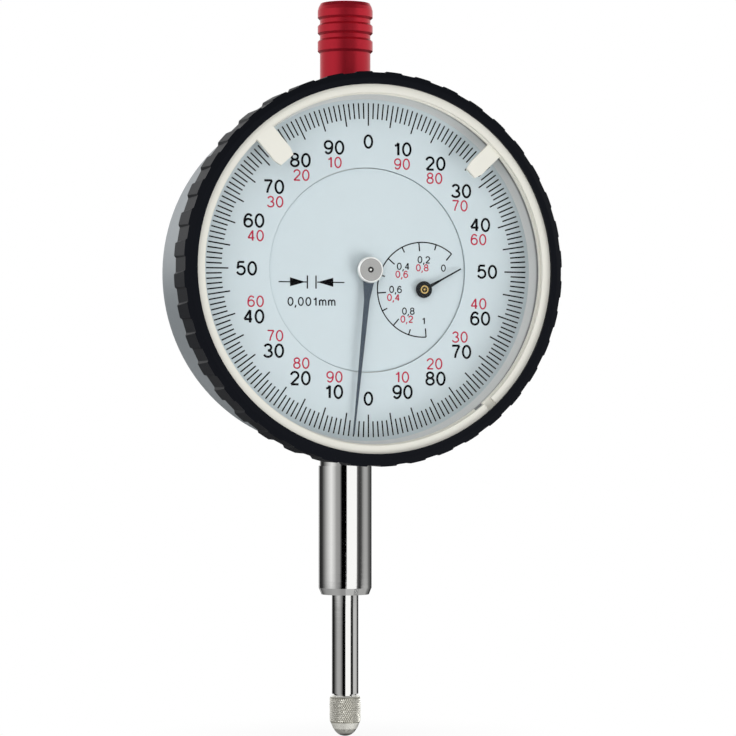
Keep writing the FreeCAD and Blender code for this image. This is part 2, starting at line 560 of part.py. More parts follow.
rear_plate = doc.addObject("PartDesign::Body", "rear_plate")
padded(rear_plate, "rear_plate_disc", "ledge", "plate_thickness",
       [("0", "0", "case_bore - rear_plate_play")]
       + [(*spot, "plate_bush_radius") for spot in ARBORS.values()]
       + [(*spot, "rivet_radius") for spot in PILLARS]
       + [(*spot, "small_screw_radius + fit_gap") for spot in MOVEMENT_SCREWS + GUIDE_BAR_SCREWS])
SIDE, LOW, HIGH = "driver_radius + slot_gap", "driver_up", "driver_up + stroke"
pocketed(rear_plate, "driver_slot", "XZ_Plane", "ledge_depth", "plate_thickness", outline=[
    (f"-({SIDE})", f"{LOW} - ({SIDE})"), (SIDE, f"{LOW} - ({SIDE})"),
    (SIDE, f"{HIGH} + {SIDE}"), (f"-({SIDE})", f"{HIGH} + {SIDE}")], backward=True)
SIDE = "stem_radius + notch_gap"
pocketed(rear_plate, "stem_notch", "XZ_Plane", "ledge_depth", "plate_thickness", outline=[
    (f"-({SIDE})", "-case_radius"), (SIDE, "-case_radius"), (SIDE, "notch_gap - wall_drop"),
    (f"-({SIDE})", "notch_gap - wall_drop")], backward=True)
put(rear_plate)
keep(rear_plate, "movement_rear_plate")

pillars = []
for number, spot in enumerate(PILLARS):
    pillar = turned_body(f"pillar_{number}", [
        ("0", "front_plate_back + small_screw_length"),
        ("small_screw_radius", "front_plate_back + small_screw_length"),
        ("small_screw_radius", "front_plate_back"), ("pillar_radius", "front_plate_back"),
        ("pillar_radius", "rear_plate_front"), ("rivet_radius", "rear_plate_front"),
        ("rivet_radius", "ledge"), ("0", "ledge")])
    put(pillar, spot)
    pillars.append(pillar)
group("plate_pillars", pillars)
group("pillar_screws", [
    slotted_screw(f"pillar_screw_{number}", spot, "front_plate_front",
                  "small_screw_length + plate_thickness", "small_screw_radius",
                  "small_head_radius", "small_head_height", True)
    for number, spot in enumerate(PILLARS)])
group("movement_screws", [
    slotted_screw(f"movement_screw_{number}", spot, "rear_plate_front",
                  "small_screw_length + plate_thickness - fit_gap", "small_screw_radius",
                  "small_head_radius", "small_head_height", True)
    for number, spot in enumerate(MOVEMENT_SCREWS)])
for plate, back in (("front", "front_plate_back"), ("rear", "ledge")):
    bushes = []
    for name, spot in ARBORS.items():
        pivot = PIVOTS[name] if plate == "front" else "pivot_radius"
        bush = turned_body(f"{plate}_{name}_bush", tube(
            f"{pivot} + running_gap", "plate_bush_radius", f"{back} - plate_thickness", back))
        put(bush, spot)
        bushes.append(bush)
    group(f"{plate}_plate_bushes", bushes)

# Guide bar: a block on the rear plate whose slot keeps the spindle from turning.
bar = block("guide_bar_block", ("guide_bar_width", "guide_bar_depth", "guide_bar_height"),
            ("guide_bar_left", "ledge", "guide_up - guide_bar_height/2"))
bar_slot = block("guide_slot",
                 ("guide_slot_depth", "2*(guide_pin_radius + guide_play)", "guide_bar_height"),
                 ("guide_bar_right - guide_slot_depth", "-guide_pin_radius - guide_play",
                  "guide_up - guide_bar_height/2"))
bar_holes = [rod(f"guide_bar_hole_{number}", spot, "ledge", "small_screw_length - plate_thickness",
                 "small_screw_radius") for number, spot in enumerate(GUIDE_BAR_SCREWS)]
keep(cut("guide_bar", bar, joined("guide_bar_cuts", [bar_slot] + bar_holes)), "guide_bar")
group("guide_bar_screws", [
    slotted_screw(f"guide_bar_screw_{number}", spot, "rear_plate_front",
                  "small_screw_length - fit_gap", "small_screw_radius",
                  "small_head_radius", "small_head_height", True)
    for number, spot in enumerate(GUIDE_BAR_SCREWS)])


# Gear train. Angles here are in radians, anticlockwise from the right, seen from the front.
def gear_outline(teeth, phase, first=0, count=None):
    """Corners of trapezoid teeth round the origin, with clearance at tip and flank."""
    module = value("gear_module")
    root = teeth*module/2 - 1.25*module
    tip = teeth*module/2 + 0.85*module
    pitch = 2*math.pi/teeth
    corners = []
    for tooth in range(first, first + (count or teeth)):
        for radius, share in ((root, -0.29), (tip, -0.11), (tip, 0.11), (root, 0.29)):
            angle = phase + (tooth + share)*pitch
            corners.append(Vector(radius*math.cos(angle), 0, radius*math.sin(angle)))
    return corners


def flat_shape(corners, back, thickness, holes=()):
    """A flat prism that reaches forward from the depth back, with round holes."""
    depth = value(back)
    edge = [Vector(corner.x, depth, corner.z) for corner in corners]
    solid = Part.Face(Part.makePolygon(edge + edge[:1])).extrude(Vector(0, -value(thickness), 0))
    for across, up, radius in holes:
        solid = solid.cut(Part.makeCylinder(radius, value(thickness), Vector(across, depth, up),
                                            Vector(0, -1, 0)))
    return solid


def placed_feature(name, shape, spot):
    thing = doc.addObject("Part::Feature", name)
    thing.Shape = shape
    put(thing, spot)
    return thing


def mating_phase(teeth, phase, own_spot, other_spot, other_teeth):
    """The direction of a tooth of the other gear that meshes with this one."""
    across, up = (value(other) - value(own) for other, own in zip(other_spot, own_spot))
    line = math.atan2(up, across)
    past_tooth = (line - phase) % (2*math.pi/teeth)
    return line + math.pi + math.pi/other_teeth + past_tooth*teeth/other_teeth


centre_teeth, wheel_teeth, pinion_teeth, sector_teeth, counter_teeth = (
    int(value(name)) for name in ("centre_teeth", "wheel_teeth", "pinion_teeth", "sector_teeth",
                                  "counter_teeth"))
wheel_phase = mating_phase(centre_teeth, 0, CENTRE, WHEEL, wheel_teeth)
counter_phase = mating_phase(centre_teeth, 0, CENTRE, COUNTER, counter_teeth)
sector_phase = mating_phase(pinion_teeth, 0, WHEEL, LEVER, sector_teeth)


def arbor(label, spot, profile, pinion=0, pinion_back="0", pinion_length="0"):
    """A turned arbor, joined to its pinion leaves where it has them."""
    shaft = turned_body(f"{label}_shaft", profile)
    put(shaft, spot)
    if not pinion:
        return keep(shaft, label)
    leaves = placed_feature(f"{label}_leaves", flat_shape(
        gear_outline(pinion, 0), pinion_back, pinion_length), spot)
    return keep(joined(label, [shaft, leaves]), label)


BACK_PIVOT = [("0", "back_pivot_end"), ("pivot_radius", "back_pivot_end"),
              ("pivot_radius", "back_shoulder"), ("arbor_radius", "back_shoulder")]
FRONT_PIVOT = [("arbor_radius", "front_shoulder"), ("pivot_radius", "front_shoulder"),
               ("pivot_radius", "front_pivot_end"), ("0", "front_pivot_end")]


def collet(back):
    """The shoulder of an arbor that its wheel is riveted to."""
    return [("arbor_radius", f"{back} + collet_height"), ("collet_radius", f"{back} + collet_height"),
            ("collet_radius", back), ("arbor_radius", back)]


arbor("centre_arbor", CENTRE, BACK_PIVOT + [
    ("arbor_radius", "front_shoulder"), ("front_pivot_radius", "front_shoulder"),
    ("front_pivot_radius", "centre_plate_front"), ("tip_radius", "centre_plate_front"),
    ("tip_radius", "boss_front + end_shake"), ("0", "boss_front + end_shake")],
      centre_teeth, "wheel_back + pinion_overlap",
      "wheel_back + 2*pinion_overlap - counter_gear_front")
arbor("intermediate_arbor", WHEEL, BACK_PIVOT + collet("wheel_back") + FRONT_PIVOT,
      pinion_teeth, "sector_back + pinion_overlap", "sector_thickness + 2*pinion_overlap")
arbor("lever_arbor", LEVER, BACK_PIVOT + list(reversed(collet("sector_front - collet_height")))
      + FRONT_PIVOT)
arbor("counter_arbor", COUNTER, BACK_PIVOT + collet("counter_gear_back") + [
    ("arbor_radius", "front_shoulder"), ("front_pivot_radius", "front_shoulder"),
    ("front_pivot_radius", "centre_plate_front + pivot_sunk"),
    ("pivot_radius", "centre_plate_front + pivot_sunk"),
    ("pivot_radius", "small_boss_front + end_shake"), ("0", "small_boss_front + end_shake")])


def wheel_windows(teeth):
    """Round windows between the hub and the rim, which leave the wheel its spokes."""
    rim = teeth*value("gear_module")/2 - value("rim_width")
    hub = value("wheel_hub_radius")
    radius = min((rim - hub)/2, (rim + hub)/2*math.sin(math.pi/value("spoke_count"))
                 - value("spoke_width")/2)
    return [((rim + hub)/2*math.cos(turn), (rim + hub)/2*math.sin(turn), radius)
            for turn in (2*math.pi*spoke/value("spoke_count")
                         for spoke in range(int(value("spoke_count"))))]


bore = (0, 0, value("arbor_radius"))
keep(placed_feature("intermediate_gear_wheel", flat_shape(
    gear_outline(wheel_teeth, wheel_phase), "wheel_back", "wheel_thickness",
    [bore] + wheel_windows(wheel_teeth)), WHEEL), "intermediate_gear")
keep(placed_feature("counter_gear_wheel", flat_shape(
    gear_outline(counter_teeth, counter_phase), "counter_gear_back", "wheel_thickness",
    [bore] + wheel_windows(counter_teeth)), COUNTER), "counter_gear")

# Lever: a hub, a toothed sector and the arm that the driver pin lifts, drawn at mid swing.
half_swing = math.radians(value("half_swing"))
pinion_line = math.atan2(value(WHEEL[1]) - value(LEVER[1]), value(WHEEL[0]) - value(LEVER[0]))
tooth_pitch = 2*math.pi/sector_teeth
span = int(value("sector_span"))
first_tooth = round((pinion_line + half_swing - sector_phase)/tooth_pitch) - span//2
teeth_edge = gear_outline(sector_teeth, sector_phase, first_tooth, span)
hub_radius = value("hub_radius")
wedge = flat_shape([Vector()] + teeth_edge, "sector_back", "sector_thickness")
rim_inner = sector_teeth*value("gear_module")/2 - value("sector_rim")
centre_line = sector_phase + (first_tooth + (span - 1)/2)*tooth_pitch
half_window = (span/2 - 2.5)*tooth_pitch
window = flat_shape([
    Vector(radius*math.cos(centre_line + side*half_window), 0,
           radius*math.sin(centre_line + side*half_window))
    for radius, side in ((2.2*hub_radius, -1), (rim_inner, -1), (rim_inner, 1), (2.2*hub_radius, 1))],
    "sector_back", "sector_thickness")
arm = flat_shape([
    Vector(0, 0, 0), Vector(-value("lever_arm_length"), 0, 0),
    Vector(-value("lever_arm_length"), 0, 0.6*value("lever_arm_width")),
    Vector(0, 0, value("lever_arm_width"))], "sector_back", "sector_thickness")
arm.rotate(Vector(), Vector(0, 1, 0), -math.degrees(half_swing))
hub = Part.makeCylinder(hub_radius, value("sector_thickness"), Vector(0, value("sector_back"), 0),
                        Vector(0, -1, 0))
lever_bore = Part.makeCylinder(value("arbor_radius"), value("sector_thickness"),
                               Vector(0, value("sector_back"), 0), Vector(0, -1, 0))
lever_shape = wedge.cut(window).fuse([arm, hub]).cut(lever_bore).removeSplitter()
keep(placed_feature("lever", lever_shape, LEVER), "lever_sector")

# Hairspring on the counter arbor, its collet, and the stud that holds its outer end.
turned("hairspring_collet", tube("arbor_radius", "hairspring_inner - 0.15",
                                 "hairspring_front", "hairspring_back"), COUNTER)
turns = value("hairspring_turns")
growth = (value("hairspring_outer") - value("hairspring_inner"))/turns
half_strip = value("hairspring_strip/2")


def spiral_point(turn, offset):
    """A point on one side of the spiral strip, at an angle counted from its inner end."""
    radius = value("hairspring_inner") + growth*turn/(2*math.pi) + offset
    return Vector(radius*math.cos(turn), value("hairspring_back"), radius*math.sin(turn))


def spiral_edge(offset, outward):
    """One side of the strip, as half-turn arcs that follow the spiral."""
    halves = [math.pi*half for half in range(int(2*turns))]
    arcs = [Part.Arc(*(spiral_point(start + part*math.pi, offset) for part in (0, 0.5, 1))).toShape()
            for start in halves]
    return arcs if outward else [arc.reversed() for arc in reversed(arcs)]


last = math.pi*int(2*turns)
strip_edge = (spiral_edge(half_strip, True)
              + [Part.makeLine(spiral_point(last, half_strip), spiral_point(last, -half_strip))]
              + spiral_edge(-half_strip, False)
              + [Part.makeLine(spiral_point(0, -half_strip), spiral_point(0, half_strip))])
strip = Part.Face(Part.Wire(Part.sortEdges(strip_edge)[0])).extrude(
    Vector(0, -value("hairspring_height"), 0))
keep(placed_feature("hairspring_strip", strip, COUNTER), "hairspring")
STUD = (f"({COUNTER[0]}) + hairspring_outer + hairspring_strip/2 + foot_radius", COUNTER[1])
keep(rod("hairspring_stud", STUD, "hairspring_front", "rear_plate_front - hairspring_front",
         "foot_radius"), "hairspring_stud")

# Fixed centre of the dial, with two feet that stand in the front plate.
centre_plate = doc.addObject("PartDesign::Body", "centre_plate")
padded(centre_plate, "centre_plate_disc", "centre_plate_back",
       "centre_plate_thickness", [("0", "0", "scale_inner - centre_plate_play"),
                                  ("0", "0", "2*front_pivot_radius"),
                                  (*COUNTER, "2*front_pivot_radius")])
padded(centre_plate, "feet", "front_plate_back - foot_sunk",
       "front_plate_back - foot_sunk - centre_plate_back + centre_plate_thickness/2",
       [(*spot, "foot_radius") for spot in FEET])
put(centre_plate)
keep(centre_plate, "centre_dial_plate")

# Pointers. Each is drawn pointing up and then turned clockwise to where it rests.
for label, spot, back, eye, seat, half, length, turn in (
        ("main_pointer", CENTRE, "pointer_back", "pointer_eye", "boss_neck", "pointer_width/2",
         "pointer_length", "pointer_angle"),
        ("small_pointer", COUNTER, "small_pointer_back", "small_pointer_eye", "small_boss_radius",
         "small_pointer_width/2", "small_pointer_length", "small_pointer_angle")):
    pointer = doc.addObject("PartDesign::Body", label + "_body")
    padded(pointer, label + "_eye", back, "pointer_thickness", [("0", "0", eye)])
    padded(pointer, label + "_blade", back, "pointer_thickness", outline=[
        (f"-({half})", f"{eye}/2"), (half, f"{eye}/2"),
        (f"({half})*pointer_waist", f"{eye}*waist_height"), ("pointer_tip/2", length),
        ("-pointer_tip/2", length), (f"-({half})*pointer_waist", f"{eye}*waist_height")])
    pocketed(pointer, label + "_hole", "XZ_Plane", f"-({back})", "pointer_thickness",
             [("0", "0", seat)], backward=True)
    put(pointer, spot, turn=turn)
    keep(pointer, label)
turned("main_pointer_boss", [
    ("tip_radius", "boss_front"), ("boss_radius - boss_chamfer", "boss_front"),
    ("boss_radius", "boss_front + boss_chamfer"), ("boss_radius", "pointer_front"),
    ("boss_neck", "pointer_front"),
    ("boss_neck", "pointer_front + boss_neck_length"),
    ("tip_radius", "pointer_front + boss_neck_length")])
turned("small_pointer_boss", tube("pivot_radius", "small_boss_radius", "small_boss_front",
                                  "small_boss_front + small_boss_length"), COUNTER)

# Bezel: a fluted grip ring over two metal rings that hold the crystal and the scale.
grip = turned("bezel_grip_ring", [
    ("lip_radius", "grip_front"), ("lip_radius + lip_flat", "grip_front"),
    ("bezel_radius", "grip_front + grip_chamfer"), ("bezel_radius", "grip_back - back_chamfer"),
    ("bezel_radius - back_chamfer", "grip_back"), ("grip_bore", "grip_back"),
    ("grip_bore", "lip_back"), ("lip_radius", "lip_back")])
FLUTE_FLOOR = "bezel_radius - flute_depth"
FLUTE_HALF = "(pi*bezel_radius*flute_share/flute_count)"
flute = pocketed(grip, "flute", "XZ_Plane", "-grip_back", "grip_back - grip_front", outline=[
    (f"flute_depth - {FLUTE_HALF}", FLUTE_FLOOR), (f"{FLUTE_HALF} - flute_depth", FLUTE_FLOOR),
    (f"{FLUTE_HALF} + 1", "bezel_radius + 1"), (f"-{FLUTE_HALF} - 1", "bezel_radius + 1")],
                 backward=True)
flute.setExpression("TaperAngle", formula("-flute_taper"))
flutes = grip.newObject("PartDesign::PolarPattern", "flutes")
flutes.Originals = [flute]
flutes.Axis = (next(item for item in grip.Origin.OriginFeatures if item.Role == "Y_Axis"), [""])
flutes.setExpression("Occurrences", formula("flute_count"))
grip.Tip = flutes
put(grip, turn="flute_angle")
turned("marker_carrier_ring", [
    ("recess", "lip_back"), ("ring_radius", "lip_back"), ("ring_radius", "crystal_front"),
    ("rib_radius", "crystal_front"), ("rib_radius", "rib_front"), ("recess", "rib_front")])
turned("crystal", [
    ("0", "crystal_front"), ("crystal_radius", "crystal_front"), ("crystal_radius", "spacer_front"),
    ("0", "spacer_front")])
turned("crystal_spacer", [
    ("spacer_radius", "spacer_front"), ("ring_radius", "spacer_front"),
    ("ring_radius", "scale_front"), ("grip_bore - spacer_foot", "scale_front")])
turned("scale_ring", tube("scale_inner", "crystal_radius", "scale_front", "scale_back"))
turned("bezel_ring", [
    ("ring_bore", "scale_back"), ("ring_radius", "scale_back"), ("ring_radius", "grip_back"),
    ("ring_bore", "grip_back"), ("ring_bore", "groove_back"), ("snap_bore", "groove_back"),
    ("snap_bore", "groove_front"), ("ring_bore", "groove_front")])
turned("bezel_snap_ring", tube("spigot_radius - snap_depth + snap_gap", "spigot_radius + snap_rise",
                               "snap_centre - snap_width/2", "snap_centre + snap_width/2"),
       sweep="360 - snap_opening")

# Tolerance markers: two split rings, one behind the other, each with a tab over the scale.
for label, front, inner, width, tab_turn, slit_turn in (
        ("tolerance_marker_left", "front_marker_front", "marker_inner", "left_tab_width",
         "left_tab_angle", "left_slit_angle"),
        ("tolerance_marker_right", "rear_marker_front", "marker_inner - marker_step",
         "right_tab_width", "right_tab_angle", "right_slit_angle")):
    marker = doc.addObject("PartDesign::Body", label + "_body")
    back = f"{front} + marker_thickness"
    padded(marker, label + "_ring", back, "marker_thickness",
           [("0", "0", "marker_radius"), ("0", "0", inner)])
    padded(marker, label + "_tab", back, "marker_thickness", outline=[
        (f"-{width}/2", "marker_inner + 0.5"), (f"{width}/2", "marker_inner + 0.5"),
        (f"{width}/2", "tab_inner + tab_taper_length"), (f"{width}/2 - tab_taper", "tab_inner"),
        (f"-{width}/2 + tab_taper", "tab_inner"), (f"-{width}/2", "tab_inner + tab_taper_length")])
    across, up = f"sin({slit_turn})", f"cos({slit_turn})"
    slit = []
    for reach, side in ((f"({inner} - 1)", 1), (f"({inner} - 1)", -1),
                        ("(marker_radius + 1)", -1), ("(marker_radius + 1)", 1)):
        slit.append((f"{reach}*{across} + {side}*marker_slit/2*{up}",
                     f"{reach}*{up} - {side}*marker_slit/2*{across}"))
    pocketed(marker, label + "_slit", "XZ_Plane", f"-({back})", "marker_thickness",
             outline=slit, backward=True)
    put(marker, turn=tab_turn)
    keep(marker, label)

doc.recompute()
failed = [item.Name for item in doc.Objects if {"Invalid", "Error"} & set(item.State)]
for label, piece in pieces.items():
    if piece.Shape.isNull() or not piece.Shape.isValid() or not piece.Shape.Solids:
        failed.append(label)
if failed:
    raise RuntimeError("not built: " + ", ".join(failed))
os.makedirs("parts", exist_ok=True)
for label, piece in pieces.items():
    piece.Shape.exportStep(f"parts/{label}.step")
print(len(pieces), "pieces written")
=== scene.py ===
"""A precision dial indicator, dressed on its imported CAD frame.

The sections follow the instrument as it is put together, from the case outward to the
bezel, with the dial's print where the dial goes in. Everything is in metres.
"""
import math
import random

import bmesh
import bpy
from mathutils import Matrix, Vector


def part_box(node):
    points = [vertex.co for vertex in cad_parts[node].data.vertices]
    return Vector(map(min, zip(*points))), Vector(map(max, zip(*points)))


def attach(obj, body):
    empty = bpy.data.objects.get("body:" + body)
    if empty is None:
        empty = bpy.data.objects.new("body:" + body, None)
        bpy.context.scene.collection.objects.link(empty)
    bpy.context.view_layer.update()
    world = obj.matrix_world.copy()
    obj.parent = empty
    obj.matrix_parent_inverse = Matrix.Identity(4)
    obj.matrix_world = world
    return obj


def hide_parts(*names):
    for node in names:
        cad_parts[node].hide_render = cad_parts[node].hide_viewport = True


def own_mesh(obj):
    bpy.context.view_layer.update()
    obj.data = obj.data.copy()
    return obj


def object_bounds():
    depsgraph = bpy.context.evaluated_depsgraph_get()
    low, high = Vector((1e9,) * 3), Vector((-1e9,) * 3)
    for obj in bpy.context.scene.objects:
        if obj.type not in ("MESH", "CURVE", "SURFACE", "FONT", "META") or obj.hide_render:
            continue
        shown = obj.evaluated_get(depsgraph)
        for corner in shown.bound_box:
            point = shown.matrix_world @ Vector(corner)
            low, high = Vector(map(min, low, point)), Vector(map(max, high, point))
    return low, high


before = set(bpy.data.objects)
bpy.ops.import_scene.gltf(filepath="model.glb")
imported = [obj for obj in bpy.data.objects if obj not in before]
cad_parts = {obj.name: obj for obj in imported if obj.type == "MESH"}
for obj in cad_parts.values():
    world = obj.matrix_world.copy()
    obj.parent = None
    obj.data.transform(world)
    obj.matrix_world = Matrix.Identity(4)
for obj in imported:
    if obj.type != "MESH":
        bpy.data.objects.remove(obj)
cad_box = [list(corner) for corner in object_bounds()]
scene = bpy.context.scene
scene.view_settings.view_transform = "Standard"
MM = 0.001

# Camera: a long lens a little left of the dial's axis and below its middle, level with the
# stem. The aim point lies to the right of the spindle, which keeps the dial in the frame.
CAMERA_TURN = math.radians(-17.3)
CAMERA_DISTANCE = 450*MM
CAMERA_HEIGHT = 17.5*MM
AIM_HEIGHT = 24.2*MM
AIM_ASIDE = 3.46*MM
FRAME_WIDTH = 111.45*MM
view_line = Vector((-math.sin(CAMERA_TURN), math.cos(CAMERA_TURN), 0))
view_right = Vector((math.cos(CAMERA_TURN), math.sin(CAMERA_TURN), 0))
aim = view_right*AIM_ASIDE + Vector((0, 0, AIM_HEIGHT))
stand = view_right*AIM_ASIDE - view_line*CAMERA_DISTANCE + Vector((0, 0, CAMERA_HEIGHT))
camera = bpy.data.objects.new("camera", bpy.data.cameras.new("camera"))
camera.data.sensor_width = 36
camera.data.lens = camera.data.sensor_width*CAMERA_DISTANCE/FRAME_WIDTH
camera.location = stand
camera.rotation_euler = (aim - stand).to_track_quat("-Z", "Y").to_euler()
camera.data.clip_start = 0.01
scene.collection.objects.link(camera)
scene.camera = camera

# Studio: an even pale surround lights every matt surface, and polished metal mirrors the
# soft boxes and dark flags that stand round the table, given by the compass direction.
EVEN_LEVEL = 0.55
# How bright the boxes are, by degrees from the front: UNDER is what the spindle mirrors, LOW
# what the stem does, and HIGH what the cap and the hub do. COVER is the table and the
# ceiling by the sine of the elevation, each with its level and how far it hides the boxes.
UNDER = ((-173, 0.5), (-161, 0.01), (-127, 0.02), (-104, 0.22), (-85, 0.40), (-62, 0.38),
         (-50, 0.24), (-37, 0.0), (-16, 0.0), (-12, 1.0), (30, 1.0), (34, 0.01), (54, 0.02),
         (60, 0.55), (98, 0.50), (112, 0.06), (150, 0.02))
LOW = ((-173, 0.5), (-161, 0.01), (-135, 0.04), (-120, 0.2), (-97, 0.58), (-80, 0.84),
       (-66, 0.6), (-55, 0.34), (-40, 0.28), (-36, 0.12), (-32, 0.0), (-11, 0.0), (-8, 1.0),
       (34, 1.0), (38, 0.12), (48, 0.04), (58, 0.07), (69, 0.3), (80, 0.4), (93, 0.36),
       (108, 0.14), (130, 0.05), (150, 0.02))
HIGH = ((-165, 1.05), (-140, 0.9), (-62, 1.0), (-44, 0.7), (-24, 0.12), (24, 0.02), (40, 1.2),
        (150, 1.05))
COVER = ((-0.5, 0.35, 0.8), (-0.25, 0.35, 0), (0.35, 0.08, 0), (0.6, 0.08, 1))
# The sines of the elevation between which one gives way to the next.
UNDER_TO_LOW = (-0.0615, -0.0595)
LOW_TO_HIGH = (0.02, 0.045)


def between(tree, source, low, high):
    """Where a value lies between two bounds, from 0 to 1."""
    place = tree.nodes.new("ShaderNodeMapRange")
    place.inputs["From Min"].default_value = low
    place.inputs["From Max"].default_value = high
    tree.links.new(source, place.inputs["Value"])
    return place.outputs["Result"]


def graded(tree, source, rows):
    """A colour ramp on a value; rows are places from 0 to 1 with their colours."""
    ramp = tree.nodes.new("ShaderNodeValToRGB")
    tree.links.new(source, ramp.inputs["Fac"])
    stops = ramp.color_ramp.elements
    while len(stops) < len(rows):
        stops.new(0.5)
    for stop, (place, color) in zip(stops, rows):
        stop.position = place
        stop.color = color
    return ramp


def blend_colors(tree, share, first, second):
    """Mix two colours by a share from 0 to 1."""
    mix = tree.nodes.new("ShaderNodeMix")
    mix.data_type = "RGBA"
    for source, socket in ((share, "Factor"), (first, 6), (second, 7)):
        tree.links.new(source, mix.inputs[socket])
    return mix.outputs[2]


def blend_shaders(tree, share, first, second):
    """Mix two shaders by a share from 0 to 1."""
    mix = tree.nodes.new("ShaderNodeMixShader")
    for source, socket in ((share, 0), (first, 1), (second, 2)):
        tree.links.new(source, mix.inputs[socket])
    return mix.outputs[0]


world = bpy.data.worlds.new("studio")
scene.world = world
world.use_nodes = True
studio = world.node_tree
nodes, links = studio.nodes, studio.links
nodes.clear()
parts = nodes.new("ShaderNodeSeparateXYZ")
links.new(nodes.new("ShaderNodeTexCoord").outputs["Generated"], parts.inputs[0])
toward = nodes.new("ShaderNodeMath")
toward.operation = "MULTIPLY"
toward.inputs[1].default_value = -1
links.new(parts.outputs["Y"], toward.inputs[0])
compass = nodes.new("ShaderNodeMath")
compass.operation = "ARCTAN2"
links.new(parts.outputs["X"], compass.inputs[0])
links.new(toward.outputs[0], compass.inputs[1])
turn = between(studio, compass.outputs[0], -math.pi, math.pi)
rise = parts.outputs["Z"]
under, low, high = (
    graded(studio, turn, [(degrees/360 + 0.5, (level, level, level, 1)) for degrees, level in rows])
    for rows in (UNDER, LOW, HIGH))
cover = graded(studio, between(studio, rise, -1, 1), [
    (sine/2 + 0.5, (level, level, level, hidden)) for sine, level, hidden in COVER])
boxes = blend_colors(studio, between(studio, rise, *UNDER_TO_LOW), under.outputs["Color"],
                     low.outputs["Color"])
boxes = blend_colors(studio, between(studio, rise, *LOW_TO_HIGH), boxes, high.outputs["Color"])
room = blend_colors(studio, cover.outputs["Alpha"], boxes, cover.outputs["Color"])
mirrored, even, white = (nodes.new("ShaderNodeBackground") for part in range(3))
links.new(room, mirrored.inputs["Color"])
even.inputs["Color"].default_value = (EVEN_LEVEL, EVEN_LEVEL, EVEN_LEVEL, 1)
white.inputs["Color"].default_value = (1, 1, 1, 1)
path = nodes.new("ShaderNodeLightPath").outputs
direct = nodes.new("ShaderNodeMath")
direct.operation = "MAXIMUM"
links.new(path["Is Camera Ray"], direct.inputs[0])
links.new(path["Is Transmission Ray"], direct.inputs[1])
surround = blend_shaders(studio, path["Is Glossy Ray"], even.outputs[0], mirrored.outputs[0])
surround = blend_shaders(studio, direct.outputs[0], surround, white.outputs[0])
links.new(surround, nodes.new("ShaderNodeOutputWorld").inputs["Surface"])
# name, place, width and power of each lamp; only the key box is mirrored in the metal
LAMPS = (("key_box", (0.40, -0.50, -0.30), 0.4, 1.7),
         ("fill_box", (-0.42, -0.40, 0.20), 0.5, 0.9),
         ("rim_box", (-0.35, 0.45, 0.45), 0.4, 1.5))
LAMP_AIM = Vector((0, 0, 0.03))
for name, spot, width, power in LAMPS:
    lamp = bpy.data.objects.new(name, bpy.data.lights.new(name, "AREA"))
    lamp.data.shape = "DISK"
    lamp.data.size = width
    lamp.data.energy = power
    lamp.location = spot
    lamp.visible_glossy = name == "key_box"
    lamp.rotation_euler = (LAMP_AIM - Vector(spot)).to_track_quat("-Z", "Y").to_euler()
    scene.collection.objects.link(lamp)

# Table: a plain pale sweep just under the contact point. It keeps the soft shadow of the
# instrument and fades into the white surround.
FLOOR_GAP = 0.5*MM
FLOOR_REACH = 1.2
FADE_START, FADE_END = -30*MM, 50*MM
floor_mesh = bmesh.new()
bmesh.ops.create_grid(floor_mesh, x_segments=1, y_segments=1, size=FLOOR_REACH)
bmesh.ops.translate(floor_mesh, verts=floor_mesh.verts, vec=(0, 0, cad_box[0][2] - FLOOR_GAP))
floor = bpy.data.objects.new("floor", bpy.data.meshes.new("floor"))
floor_mesh.to_mesh(floor.data)
scene.collection.objects.link(floor)
paper = bpy.data.materials.new("pale_paper")
paper.use_nodes = True
nodes, links = paper.node_tree.nodes, paper.node_tree.links
sheet = nodes["Principled BSDF"]
sheet.inputs["Base Color"].default_value = (0.95, 0.95, 0.95, 1)
sheet.inputs["Roughness"].default_value = 0.9
away = nodes.new("ShaderNodeVectorMath")
away.operation = "LENGTH"
links.new(nodes.new("ShaderNodeTexCoord").outputs["Object"], away.inputs[0])
fade = between(paper.node_tree, away.outputs["Value"], FADE_START, FADE_END)
fade.node.interpolation_type = "SMOOTHSTEP"
far = nodes.new("ShaderNodeMath")
far.operation = "MULTIPLY"
links.new(fade, far.inputs[0])
links.new(nodes.new("ShaderNodeLightPath").outputs["Is Camera Ray"], far.inputs[1])
glow = nodes.new("ShaderNodeEmission")
sweep = blend_shaders(paper.node_tree, far.outputs[0], sheet.outputs[0], glow.outputs[0])
links.new(sweep, nodes["Material Output"].inputs["Surface"])
floor.data.materials.append(paper)
floor.visible_glossy = False
floor.visible_shadow = False

# Case and back cover: turned aluminium in satin grey stove enamel. The enamel has a fine
# grain and hardly any gloss, and its tone drifts a little over the surface.


def finish(name, color, roughness, metallic=0.0, specular=0.5):
    """A new material with its shader set to constant values."""
    material = bpy.data.materials.new(name)
    material.use_nodes = True
    sockets = material.node_tree.nodes["Principled BSDF"].inputs
    sockets["Base Color"].default_value = (*color, 1)
    sockets["Roughness"].default_value = roughness
    sockets["Metallic"].default_value = metallic
    sockets["Specular IOR Level"].default_value = specular
    return material


def noise(material, scale, stretch=(1, 1, 1)):
    """A noise texture on object coordinates; scale is repeats per millimetre."""
    nodes, links = material.node_tree.nodes, material.node_tree.links
    mapping = nodes.new("ShaderNodeMapping")
    mapping.inputs["Scale"].default_value = [side*scale/MM for side in stretch]
    texture = nodes.new("ShaderNodeTexNoise")
    texture.inputs["Scale"].default_value = 1
    links.new(nodes.new("ShaderNodeTexCoord").outputs["Object"], mapping.inputs["Vector"])
    links.new(mapping.outputs["Vector"], texture.inputs["Vector"])
    return texture


# Noise hardly leaves these values.
NOISE_LOW, NOISE_HIGH = 0.3, 0.7


